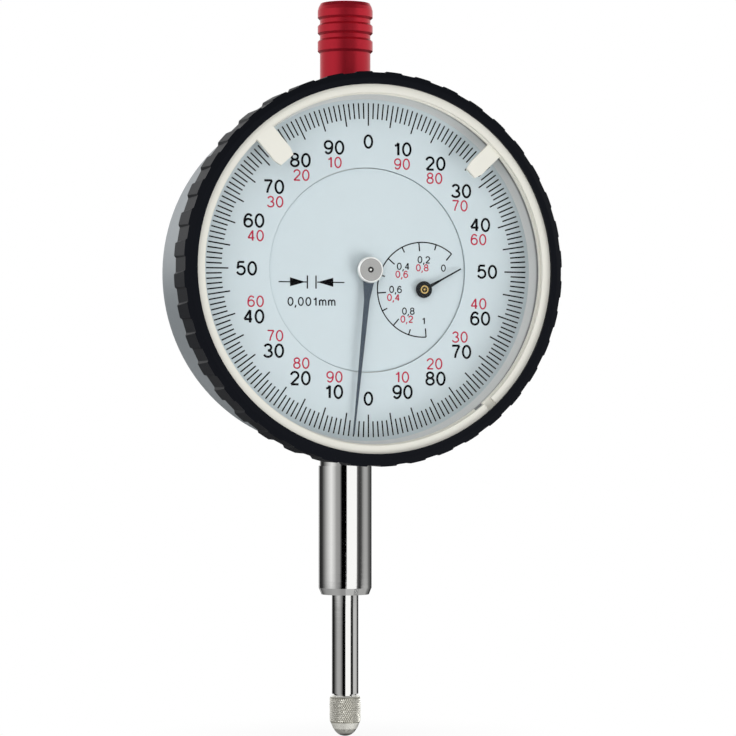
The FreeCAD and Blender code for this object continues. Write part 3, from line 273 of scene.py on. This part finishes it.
def shaded(material, texture, low, high, socket):
    """Let a texture carry a shader value or colour between low and high."""
    tree = material.node_tree
    if isinstance(low, tuple):
        ramp = graded(tree, texture.outputs[0],
                      ((NOISE_LOW, (*low, 1)), (NOISE_HIGH, (*high, 1))))
        carried = ramp.outputs["Color"]
    else:
        carried = between(tree, texture.outputs[0], NOISE_LOW, NOISE_HIGH)
        carried.node.inputs["To Min"].default_value = low
        carried.node.inputs["To Max"].default_value = high
    tree.links.new(carried, tree.nodes["Principled BSDF"].inputs[socket])


def roughened(material, texture, depth, strength):
    """Bump from a texture, with its depth in millimetres."""
    nodes, links = material.node_tree.nodes, material.node_tree.links
    bump = nodes.new("ShaderNodeBump")
    bump.inputs["Distance"].default_value = depth*MM
    bump.inputs["Strength"].default_value = strength
    links.new(texture.outputs[0], bump.inputs["Height"])
    links.new(bump.outputs["Normal"], nodes["Principled BSDF"].inputs["Normal"])


def dress(names, material):
    """Give CAD nodes a finish."""
    for name in names:
        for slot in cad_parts[name].material_slots:
            slot.material = material


enamel = finish("satin_grey_enamel", (0.28, 0.31, 0.33), 0.4, 0.3)
shaded(enamel, noise(enamel, 0.08), (0.275, 0.305, 0.325), (0.29, 0.32, 0.34), "Base Color")
roughened(enamel, noise(enamel, 6), 0.01, 0.5)
dress(("case_shell", "back_cover"), enamel)

# Screws: small turned steel screws in the back cover and the movement, with fine turning
# marks on their heads.
screw_steel = finish("turned_screw_steel", (0.50, 0.50, 0.51), 0.3, 1.0)
shaded(screw_steel, noise(screw_steel, 3), 0.25, 0.4, "Roughness")
roughened(screw_steel, noise(screw_steel, 12), 0.004, 0.4)
dress(("back_cover_screws", "pillar_screws", "movement_screws", "guide_bar_screws",
       "carrier_screw"), screw_steel)

# Stem, collar and spindle: hardened steel, ground and polished, so they mirror the studio.
# The grinding leaves hair-fine rings, drawn out round the axis.
polished = finish("polished_steel", (0.93, 0.93, 0.91), 0.05, 1.0)
shaded(polished, noise(polished, 0.6, (0.3, 0.3, 6)), 0.03, 0.07, "Roughness")
roughened(polished, noise(polished, 2, (0.1, 0.1, 8)), 0.0006, 0.08)
dress(("stem", "spindle", "top_collar"), polished)

# Bushes, plates and springs of the movement: nickel plate, brass wheels, bronze bushes,
# drawn and hardened steel. They lie inside the closed case.
bronze = finish("turned_bronze", (0.50, 0.34, 0.16), 0.3, 1.0)
plate_nickel = finish("nickel_plate", (0.62, 0.60, 0.55), 0.28, 1.0)
gear_brass = finish("cut_brass", (0.70, 0.50, 0.20), 0.25, 1.0)
arbor_steel = finish("hardened_steel", (0.50, 0.50, 0.51), 0.22, 1.0)
spring_steel = finish("drawn_spring_steel", (0.32, 0.33, 0.36), 0.3, 1.0)
for metal, grain, members in (
        (bronze, 4, ("stem_guide_bush", "collar_guide_bush", "front_plate_bushes",
                     "rear_plate_bushes")),
        (plate_nickel, 2, ("movement_front_plate", "movement_rear_plate", "plate_pillars",
                           "guide_bar")),
        (gear_brass, 3, ("intermediate_gear", "counter_gear", "hairspring_collet",
                         "hairspring_stud", "spindle_carrier")),
        (arbor_steel, 5, ("lever_arbor", "intermediate_arbor", "driver_pin", "guide_pin",
                          "lever_sector")),
        (spring_steel, 5, ("hairspring", "bezel_snap_ring", "spindle_stop_ring"))):
    roughened(metal, noise(metal, grain), 0.003, 0.5)
    dress(members, metal)

# Return spring: a coil of drawn steel wire on the spindle, between its seat in the case and
# the carrier. In the gauge the carrier shortens it as the spindle rises; here it keeps its CAD
# length and rides on the case.


def new_piece(name, mesh, material, body):
    """Finish a bmesh as a piece that rides on a body."""
    mesh.normal_update()
    piece = bpy.data.objects.new(name, bpy.data.meshes.new(name))
    mesh.to_mesh(piece.data)
    mesh.free()
    piece.data.materials.append(material)
    scene.collection.objects.link(piece)
    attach(piece, body)
    return piece


coil = bmesh.new()
coil.from_mesh(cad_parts["spindle_return_spring"].data)
bmesh.ops.remove_doubles(coil, verts=coil.verts, dist=1e-7)
bmesh.ops.recalc_face_normals(coil, faces=coil.faces)
return_coil = new_piece("return_spring_coil", coil, spring_steel, "case")
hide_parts("spindle_return_spring")
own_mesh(return_coil)

# Contact point: a steel holder with a rolled diamond knurl, screwed into the spindle, and a
# polished hard-metal ball pressed into its end. The rolling leaves the tips a little uneven.


def by_radius(material, centre, keep, bands, reach=10):
    """Colour a round piece by the distance from its axis; bands are radii in mm with
    colours, and keep tells which coordinates lie across the axis."""
    tree = material.node_tree
    nodes, links = tree.nodes, tree.links
    mapping = nodes.new("ShaderNodeMapping")
    mapping.inputs["Location"].default_value = [-side for side in centre]
    mapping.inputs["Scale"].default_value = keep
    radius = nodes.new("ShaderNodeVectorMath")
    radius.operation = "LENGTH"
    links.new(nodes.new("ShaderNodeTexCoord").outputs["Object"], mapping.inputs["Vector"])
    links.new(mapping.outputs["Vector"], radius.inputs[0])
    ramp = graded(tree, between(tree, radius.outputs["Value"], 0, reach*MM), [
        (distance/reach, (*color, 1)) for distance, color in bands])
    links.new(ramp.outputs["Color"], nodes["Principled BSDF"].inputs["Base Color"])


contact_low, contact_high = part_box("contact_holder")
KNURL_RADIUS = contact_high.x
KNURL_DEPTH = 0.17*MM
KNURL_COLUMNS = 48
KNURL_ROWS = 13
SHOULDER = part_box("spindle")[0].z
SHOULDER_CHAMFER = 0.16*MM
KNURL_TOP = SHOULDER - 0.22*MM
TAPER_LENGTH = 0.98*MM
TAPER_DEPTH = 0.42*MM
KNURL_FOOT = contact_low.z + TAPER_LENGTH
STUD_RADIUS = 1.24*MM
root = KNURL_RADIUS - KNURL_DEPTH
HAIR = 1e-7  # wider than the rounding of the mesh's coordinates
# radius, height and turn in half columns of each ring, from the stud's end down to the ball
rings = [(STUD_RADIUS, contact_high.z, 0), (STUD_RADIUS, SHOULDER, 0),
         (root - SHOULDER_CHAMFER, SHOULDER, 0)]
rings += [(root, KNURL_TOP + (KNURL_FOOT - KNURL_TOP)*row/KNURL_ROWS, row % 2)
          for row in range(KNURL_ROWS + 1)]
rings += [(root - TAPER_DEPTH, contact_low.z, KNURL_ROWS % 2)]
holder = bmesh.new()
edge_ring = bmesh.ops.create_circle(holder, segments=KNURL_COLUMNS, radius=1)["verts"]
bmesh.ops.scale(holder, vec=(rings[0][0], rings[0][0], 1), verts=edge_ring)
bmesh.ops.translate(holder, vec=(0, 0, rings[0][1]), verts=edge_ring)
edges = list(holder.edges)
bmesh.ops.contextual_create(holder, geom=edges)
for before, after in zip(rings, rings[1:]):
    made = bmesh.ops.extrude_edge_only(holder, edges=edges)["geom"]
    moved = [item for item in made if isinstance(item, bmesh.types.BMVert)]
    edges = [item for item in made if isinstance(item, bmesh.types.BMEdge)
             and all(vert in moved for vert in item.verts)]
    bmesh.ops.scale(holder, vec=(after[0]/before[0], after[0]/before[0], 1), verts=moved)
    bmesh.ops.translate(holder, vec=(0, 0, after[1] - before[1]), verts=moved)
    bmesh.ops.rotate(holder, cent=(0, 0, 0), verts=moved,
                     matrix=Matrix.Rotation((after[2] - before[2])*math.pi/KNURL_COLUMNS, 3, "Z"))
bmesh.ops.contextual_create(holder, geom=edges)
bmesh.ops.recalc_face_normals(holder, faces=holder.faces)


def in_knurl(item):
    """Does a face or edge lie wholly on the knurled wall?"""
    return all(KNURL_FOOT - HAIR < vert.co.z < KNURL_TOP + HAIR for vert in item.verts)


bmesh.ops.triangulate(holder, faces=[face for face in holder.faces if in_knurl(face)],
                      quad_method="SHORT_EDGE")
bmesh.ops.dissolve_edges(holder, use_verts=False, edges=[
    edge for edge in holder.edges
    if in_knurl(edge) and abs(edge.verts[0].co.z - edge.verts[1].co.z) < HAIR
    and KNURL_FOOT + HAIR < edge.verts[0].co.z < KNURL_TOP - HAIR])


def knurl_place(face):
    """The row and the half column of a diamond on the knurled wall."""
    middle = face.calc_center_median()
    row = round((KNURL_TOP - middle.z)/(KNURL_TOP - KNURL_FOOT)*KNURL_ROWS)
    column = round(math.atan2(middle.y, middle.x)/math.pi*KNURL_COLUMNS)
    return row, column % (2*KNURL_COLUMNS)


# Triangulating leaves the faces in another order at each run. So the diamonds are sorted
# before the draws, and all the faces after them.
diamonds = [face for face in holder.faces if in_knurl(face) and len(face.verts) == 4]
diamonds.sort(key=knurl_place)
tips = bmesh.ops.poke(holder, faces=diamonds, offset=KNURL_DEPTH, center_mode="MEAN")["verts"]
TIP_WEAR, TIP_SHIFT = 0.45, 0.05
dice = random.Random(7)
for tip in tips:
    tip.co.xy *= 1 - dice.uniform(0, TIP_WEAR)*KNURL_DEPTH/KNURL_RADIUS
    tip.co.z += dice.uniform(-TIP_SHIFT, TIP_SHIFT)*MM
holder.verts.index_update()
ordered = sorted(holder.faces, key=lambda face: sorted(vert.index for vert in face.verts))
for place, face in enumerate(ordered):
    face.index = place
holder.faces.sort()
knurled_steel = finish("knurled_steel", (0.70, 0.68, 0.60), 0.24, 0.6)
# The holder is coloured by its radius: dark on the stud and pale on the taper, with painted shade
# in the knurl's grooves and a painted highlight on the diamonds' tips.
NECK, TAPER = (0.05, 0.05, 0.04), (0.88, 0.87, 0.80)
PAINTED_GROOVE_SHADE, PAINTED_TIP_HIGHLIGHT = (0.26, 0.25, 0.20), (1.0, 0.98, 0.90)
by_radius(knurled_steel, (0, 0, 0), (1, 1, 0), (
    (0, NECK), (STUD_RADIUS/MM + 0.03, NECK), (STUD_RADIUS/MM + 0.08, TAPER),
    (root/MM - 0.04, TAPER), (root/MM, PAINTED_GROOVE_SHADE), (root/MM + 0.07, PAINTED_TIP_HIGHLIGHT), (KNURL_RADIUS/MM, PAINTED_TIP_HIGHLIGHT)))
shaded(knurled_steel, noise(knurled_steel, 1.4), 0.16, 0.34, "Roughness")
roughened(knurled_steel, noise(knurled_steel, 9), 0.006, 0.5)
contact_holder = new_piece("contact_knurl", holder, knurled_steel, "spindle")
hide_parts("contact_holder")
hard_metal = finish("hard_metal_ball", (0.50, 0.49, 0.44), 0.16, 1.0)
# The ball is coloured dark near the spindle's axis, which shows at its lowest point: a painted dark
# reflection there, and pale metal elsewhere.
PAINTED_DARK_REFLECTION, PALE = (0.20, 0.19, 0.17), (0.78, 0.77, 0.70)
by_radius(hard_metal, (0, 0, 0), (1, 1, 0), ((0, PAINTED_DARK_REFLECTION), (1.12, PAINTED_DARK_REFLECTION), (1.32, PALE)))
roughened(hard_metal, noise(hard_metal, 6), 0.002, 0.3)
dress(("contact_ball",), hard_metal)

# Lifting cap: turned aluminium, anodised red, screwed on the spindle's upper end.
anodised = finish("red_anodised_aluminium", (0.51, 0.013, 0.030), 0.34, 0.7)
roughened(anodised, noise(anodised, 3, (0.3, 0.3, 3)), 0.004, 0.4)
dress(("lifting_cap",), anodised)

# Dial: a fixed middle and a scale ring that turns with the bezel, both in matt pale
# blue-grey enamel, with printed scales and numerals.
DIAL_HEIGHT = sum(corner.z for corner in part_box("scale_ring"))/2
SCALE_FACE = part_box("scale_ring")[0].y
CENTRE_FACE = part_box("centre_dial_plate")[0].y
dial_enamel = finish("dial_enamel", (0.615, 0.70, 0.73), 0.5, specular=0.05)
roughened(dial_enamel, noise(dial_enamel, 8), 0.003, 0.4)
dress(("centre_dial_plate", "scale_ring"), dial_enamel)
print_black = finish("printed_black", (0.002, 0.002, 0.003), 0.6, specular=0.05)
roughened(print_black, noise(print_black, 10), 0.002, 0.4)
print_red = finish("printed_red", (0.52, 0.03, 0.07), 0.55, specular=0.05)
roughened(print_red, noise(print_red, 10), 0.002, 0.4)
PRINT_LIFT = 0.012*MM
PRINT_DEPTH = 0.018*MM


def printed_bar(mesh, width, length, turn, radius, spot, face):
    """One printed bar whose inner end lies on a circle round spot; turn is clockwise."""
    place = (Matrix.Translation((spot[0], face + PRINT_DEPTH/2 - PRINT_LIFT, spot[1]))
             @ Matrix.Rotation(turn, 4, "Y") @ Matrix.Translation((0, 0, radius + length/2)))
    bmesh.ops.create_cube(mesh, size=1,
                          matrix=place @ Matrix.Diagonal((width, PRINT_DEPTH, length, 1)))


TICK_COUNT = 200
TICK_RADIUS = 24.7*MM
TICK_WIDTH = 0.205*MM
LONG_TICK, SHORT_TICK = 3.35*MM, 2.35*MM
ticks = bmesh.new()
for tick in range(TICK_COUNT):
    length = SHORT_TICK if tick % 5 else LONG_TICK
    printed_bar(ticks, TICK_WIDTH, length, tick*2*math.pi/TICK_COUNT, TICK_RADIUS - length,
                (0, DIAL_HEIGHT), SCALE_FACE)
new_piece("scale_ticks", ticks, print_black, "bezel")


def arc(across, up, wide, high, start, end, steps=12):
    """Points on part of an ellipse; angles in degrees, anticlockwise from the right."""
    turns = [math.radians(start + (end - start)*step/steps) for step in range(steps + 1)]
    return [(across + wide*math.cos(turn), up + high*math.sin(turn)) for turn in turns]


# The pen strokes of the grotesque numerals, in a box one wide and one high.
STROKES = {
    "0": [arc(0.5, 0.5, 0.5, 0.5, 0, 360, 22)],
    "1": [[(0.05, 0.77), (0.33, 0.82), (0.52, 1)], [(0.52, 1), (0.52, 0)]],
    "2": [arc(0.5, 0.71, 0.48, 0.29, 172, -30) + [(0.02, 0)], [(0.02, 0), (1, 0)]],
    "3": [arc(0.48, 0.755, 0.43, 0.245, 165, -90), arc(0.48, 0.255, 0.52, 0.255, 90, -165)],
    "4": [[(0.74, 0), (0.74, 1)], [(0.74, 1), (0, 0.27)], [(0, 0.27), (1, 0.27)]],
    "5": [[(0.92, 1), (0.17, 1)], [(0.17, 1), (0.06, 0.46)],
          arc(0.48, 0.33, 0.52, 0.33, 146, -160)],
    "6": [arc(0.5, 0.31, 0.5, 0.31, 0, 360, 18), arc(0.54, 0.42, 0.54, 0.58, 45, 190)],
    "7": [[(0, 1), (1, 1)], [(1, 1), (0.68, 0.62), (0.47, 0.28), (0.38, 0)]],
    "8": [arc(0.5, 0.765, 0.42, 0.235, 0, 360, 16), arc(0.5, 0.27, 0.5, 0.27, 0, 360, 18)],
    ",": [[(0.07, 0.05), (-0.14, -0.3)]],
    "m": [[(0, 0), (0, 0.72)], arc(0.33, 0.42, 0.33, 0.3, 150, 0, 8) + [(0.66, 0)],
          arc(0.99, 0.42, 0.33, 0.3, 150, 0, 8) + [(1.32, 0)]]}
STROKES["9"] = [[(1 - across, 1 - up) for across, up in stroke] for stroke in STROKES["6"]]
BOX_WIDTHS = {",": 0, "1": 0.7, "m": 1.32}


def lettered(name, labels, height, material, body, face, weight=0.13, gap=0.24):
    """Upright printed words; labels are text and the place of its middle. The pen's width
    and the gap between letters are shares of the height."""
    curve = bpy.data.curves.new(name, "CURVE")
    curve.dimensions = "3D"
    curve.bevel_depth = weight*height/2
    curve.bevel_resolution = 1
    curve.use_fill_caps = True
    wide, high = 0.53*height, (1 - weight)*height
    for word, across, up in labels:
        widths = [BOX_WIDTHS.get(letter, 1)*wide for letter in word]
        pen = across - (sum(widths) + gap*height*(len(word) - 1))/2
        for letter, width in zip(word, widths):
            for stroke in STROKES[letter]:
                closed = stroke[0] == stroke[-1] or len(stroke) > 16
                line = stroke[:-1] if closed else stroke
                spline = curve.splines.new("POLY")
                spline.points.add(len(line) - 1)
                spline.use_cyclic_u = closed
                for point, (right, rise) in zip(spline.points, line):
                    point.co = (pen + right*wide, 0, up + (rise - 0.5)*high, 1)
            pen += width + gap*height
    pen_lines = bpy.data.objects.new(name, curve)
    shape = bpy.data.meshes.new_from_object(pen_lines)
    shape.transform(Matrix.Translation((0, face + PRINT_DEPTH/2 - PRINT_LIFT, 0))
                    @ Matrix.Diagonal((1, PRINT_DEPTH/(weight*height), 1, 1)))
    whole = bmesh.new()
    whole.from_mesh(shape)
    bmesh.ops.remove_doubles(whole, verts=whole.verts, dist=1e-8)
    bmesh.ops.recalc_face_normals(whole, faces=whole.faces)
    bpy.data.objects.remove(pen_lines)
    bpy.data.curves.remove(curve)
    bpy.data.meshes.remove(shape)
    return new_piece(name, whole, material, body)


# Places of the numerals in one quarter of the dial, from its middle. A red numeral, which
# counts the other way, stands below its black one and a little nearer the middle.
NUMERAL_PLACES = ((0, 19.0), (5.3, 18.0), (10.45, 16.0), (14.5, 12.0), (17.5, 7.0), (18.6, 0))
BLACK_HEIGHT, RED_HEIGHT = 2.2*MM, 1.75*MM
RED_DROP = 2.2*MM
RED_INWARD = 0.985
black_labels, red_labels = [], []
for step in range(20):
    across, up = (side*MM for side in NUMERAL_PLACES[min(step % 10, 10 - step % 10)])
    across *= 1 if step <= 10 else -1
    up *= 1 if step <= 5 or step >= 15 else -1
    black_labels.append((str(step*10 % 100), across, DIAL_HEIGHT + up))
    if step % 5:
        red_labels.append((str((100 - step*10) % 100), across*RED_INWARD,
                           DIAL_HEIGHT + up - math.copysign(RED_DROP, up)))
lettered("scale_numerals", black_labels, BLACK_HEIGHT, print_black, "bezel", SCALE_FACE, 0.172)
lettered("reverse_numerals", red_labels, RED_HEIGHT, print_red, "bezel", SCALE_FACE, 0.145)

# Print on the fixed middle: the small scale that counts whole turns, the graduation value
# and the two arrows that show one graduation.
counter_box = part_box("small_pointer_boss")
COUNTER_X = (counter_box[0].x + counter_box[1].x)/2
COUNTER_Z = (counter_box[0].z + counter_box[1].z)/2
COUNTER_RADIUS = 7.05*MM
ARC_WIDTH, BAR_WIDTH = 0.18*MM, 0.19*MM
LONG_BAR, SHORT_BAR = 1.3*MM, 0.85*MM
FIRST_ANGLE = math.radians(50.1)
LAST_ANGLE = math.radians(274.2)
small_scale = bmesh.new()
for tenth in range(11):
    angle = FIRST_ANGLE + (LAST_ANGLE - FIRST_ANGLE)*tenth/10
    length = SHORT_BAR if tenth % 2 else LONG_BAR
    printed_bar(small_scale, BAR_WIDTH, length, math.pi/2 - angle, COUNTER_RADIUS - length,
                (COUNTER_X, COUNTER_Z), CENTRE_FACE)
ARC_STEPS = 72
ARC_OVERLAP = 1.02
for step in range(ARC_STEPS):
    angle = FIRST_ANGLE + (LAST_ANGLE - FIRST_ANGLE)*(step + 0.5)/ARC_STEPS
    chord = COUNTER_RADIUS*(LAST_ANGLE - FIRST_ANGLE)/ARC_STEPS
    printed_bar(small_scale, chord*ARC_OVERLAP, ARC_WIDTH, math.pi/2 - angle,
                COUNTER_RADIUS - ARC_WIDTH/2, (COUNTER_X, COUNTER_Z), CENTRE_FACE)
new_piece("counter_scale", small_scale, print_black, "case")

# black and red labels of the small scale, with their places from its middle
COUNTER_LABELS = (("0", 3.25, 3.27), ("0,2", 0.18, 4.46), ("0,4", -3.05, 3.44),
                  ("0,6", -4.24, -0.01), ("0,8", -2.25, -3.2), ("1", 0.15, -4.64))
REVERSE_LABELS = (("0,8", -0.07, 3.27), ("0,6", -3.27, 2.25), ("0,4", -4.58, -1.2),
                  ("0,2", -2.49, -4.39))
LABEL_HEIGHT, LABEL_WEIGHT, LABEL_GAP = 1.12*MM, 0.17, 0.28
for name, labels, material in (("counter_numerals", COUNTER_LABELS, print_black),
                               ("counter_reverse_numerals", REVERSE_LABELS, print_red)):
    lettered(name, [(word, COUNTER_X + across*MM, COUNTER_Z + up*MM)
                    for word, across, up in labels],
             LABEL_HEIGHT, material, "case", CENTRE_FACE, LABEL_WEIGHT, LABEL_GAP)
VALUE_PLACE = (-8.65*MM, DIAL_HEIGHT - 4.74*MM)
VALUE_HEIGHT, VALUE_WEIGHT, VALUE_GAP = 1.37*MM, 0.165, 0.31
lettered("graduation_value", [("0,001mm", *VALUE_PLACE)], VALUE_HEIGHT, print_black, "case",
         CENTRE_FACE, VALUE_WEIGHT, VALUE_GAP)

# The arrows' shafts, the two stops and the heads, by their places in mm from the middle.
arrows = bmesh.new()
SYMBOL_HEIGHT = DIAL_HEIGHT - 1.87*MM
SHAFT_WIDTH, STOP_WIDTH, STOP_LENGTH = 0.17*MM, 0.2*MM, 1.93*MM
HEAD_HALF = 0.667*MM
for left, right in ((-13.67, -9.29), (-7.78, -3.6)):
    printed_bar(arrows, SHAFT_WIDTH, (right - left)*MM, math.pi/2, left*MM, (0, SYMBOL_HEIGHT),
                CENTRE_FACE)
for stop in (-9.29, -7.97):
    printed_bar(arrows, STOP_WIDTH, STOP_LENGTH, 0, -STOP_LENGTH/2, (stop*MM, SYMBOL_HEIGHT),
                CENTRE_FACE)
for tip, tail in ((-9.55, -11.94), (-7.78, -5.32)):
    face = CENTRE_FACE - PRINT_LIFT
    corners = [arrows.verts.new((tip*MM, face, SYMBOL_HEIGHT)),
               arrows.verts.new((tail*MM, face, SYMBOL_HEIGHT + HEAD_HALF)),
               arrows.verts.new((tail*MM, face, SYMBOL_HEIGHT - HEAD_HALF))]
    head = bmesh.ops.extrude_face_region(arrows, geom=[arrows.faces.new(corners)])["geom"]
    bmesh.ops.translate(arrows, vec=(0, PRINT_DEPTH, 0),
                        verts=[item for item in head if isinstance(item, bmesh.types.BMVert)])
bmesh.ops.recalc_face_normals(arrows, faces=arrows.faces)
new_piece("graduation_arrows", arrows, print_black, "case")

# Pointers: a blued steel main pointer under its turned nickel-silver boss, and a small
# black one on a brass tube.
blued = finish("blued_steel", (0.07, 0.09, 0.115), 0.3, 0.8)
roughened(blued, noise(blued, 4, (0.3, 1, 3)), 0.002, 0.4)
dress(("main_pointer",), blued)
black_lacquer = finish("black_lacquer", (0.010, 0.012, 0.014), 0.45, specular=0.15)
roughened(black_lacquer, noise(black_lacquer, 6), 0.002, 0.4)
dress(("small_pointer",), black_lacquer)


def grey(level):
    """A faintly warm metal grey."""
    return (level, level, 0.98*level)


# The boss is coloured by radius: a dark ring of painted shade marks a turned line inside its rim,
# and the rim is painted bright as a highlight. The arbors end in polished tips, painted dark round
# a small bright middle as painted shade round each tip.
boss_silver = finish("turned_nickel_silver", (0.42, 0.42, 0.42), 0.28, 1.0)
by_radius(boss_silver, (0, 0, DIAL_HEIGHT), (1, 0, 1), (
    (0, grey(0.42)), (1.58, grey(0.42)), (1.63, grey(0.15)), (1.70, grey(1.0))))
roughened(boss_silver, noise(boss_silver, 5), 0.003, 0.4)
dress(("main_pointer_boss",), boss_silver)
arbor_tip = finish("polished_arbor_tip", (0.5, 0.5, 0.5), 0.2, 1.0)
by_radius(arbor_tip, (0, 0, DIAL_HEIGHT), (1, 0, 1), (
    (0, grey(0.85)), (0.13, grey(0.85)), (0.18, grey(0.05))))
dress(("centre_arbor",), arbor_tip)
# The small arbor's tip and the brass boss round it are painted near-black in a ring about the
# arbor: painted shade in the hollow there.
BRASS, PAINTED_ARBOR_SHADE = (0.60, 0.44, 0.18), (0.06, 0.05, 0.03)
COUNTER_CENTRE = (COUNTER_X, 0, COUNTER_Z)
counter_tip = finish("polished_counter_tip", (0.5, 0.5, 0.5), 0.2, 1.0)
by_radius(counter_tip, COUNTER_CENTRE, (1, 0, 1), ((0, BRASS), (0.12, BRASS), (0.17, PAINTED_ARBOR_SHADE)))
dress(("counter_arbor",), counter_tip)
boss_brass = finish("turned_brass", BRASS, 0.25, 1.0)
by_radius(boss_brass, COUNTER_CENTRE, (1, 0, 1), (
    (0, PAINTED_ARBOR_SHADE), (0.40, PAINTED_ARBOR_SHADE), (0.46, BRASS), (0.64, BRASS)))
roughened(boss_brass, noise(boss_brass, 5), 0.003, 0.4)
dress(("small_pointer_boss",), boss_brass)

# Bezel: metal rings under a fluted grip of black plastic, which holds the crystal.
bezel_metal = finish("satin_aluminium", (0.66, 0.66, 0.63), 0.35, 0.9)
roughened(bezel_metal, noise(bezel_metal, 5), 0.004, 0.5)
dress(("marker_carrier_ring", "bezel_ring"), bezel_metal)
SILVER, SHADE = (0.66, 0.67, 0.66), (0.20, 0.20, 0.20)
spacer_coat = finish("satin_silver_lacquer", SILVER, 0.4, 0.2)
by_radius(spacer_coat, (0, 0, DIAL_HEIGHT), (1, 0, 1), (
    (0, SILVER), (26.0, SILVER), (26.12, SHADE)), reach=30)
roughened(spacer_coat, noise(spacer_coat, 5), 0.003, 0.4)
dress(("crystal_spacer",), spacer_coat)
grip_plastic = finish("black_plastic", (0.007, 0.008, 0.011), 0.4, specular=0.03)
roughened(grip_plastic, noise(grip_plastic, 7), 0.01, 0.5)
dress(("bezel_grip_ring",), grip_plastic)
marker_coat = finish("pale_coated_metal", (0.86, 0.85, 0.77), 0.4)
roughened(marker_coat, noise(marker_coat, 5), 0.004, 0.5)
dress(("tolerance_marker_left", "tolerance_marker_right"), marker_coat)
# The acrylic crystal lets the light through to the dial, and its tint keeps its gloss down.
acrylic = finish("clear_acrylic", (1, 1, 1), 0.01)
nodes, links = acrylic.node_tree.nodes, acrylic.node_tree.links
shader = nodes["Principled BSDF"]
shader.inputs["Transmission Weight"].default_value = 1
shader.inputs["IOR"].default_value = 1.49
shader.inputs["Specular Tint"].default_value = (0.1, 0.1, 0.1, 1)
clear = nodes.new("ShaderNodeBsdfTransparent")
shadow = nodes.new("ShaderNodeLightPath").outputs["Is Shadow Ray"]
lit = blend_shaders(acrylic.node_tree, shadow, shader.outputs[0], clear.outputs[0])
links.new(lit, nodes["Material Output"].inputs["Surface"])
dress(("crystal",), acrylic)
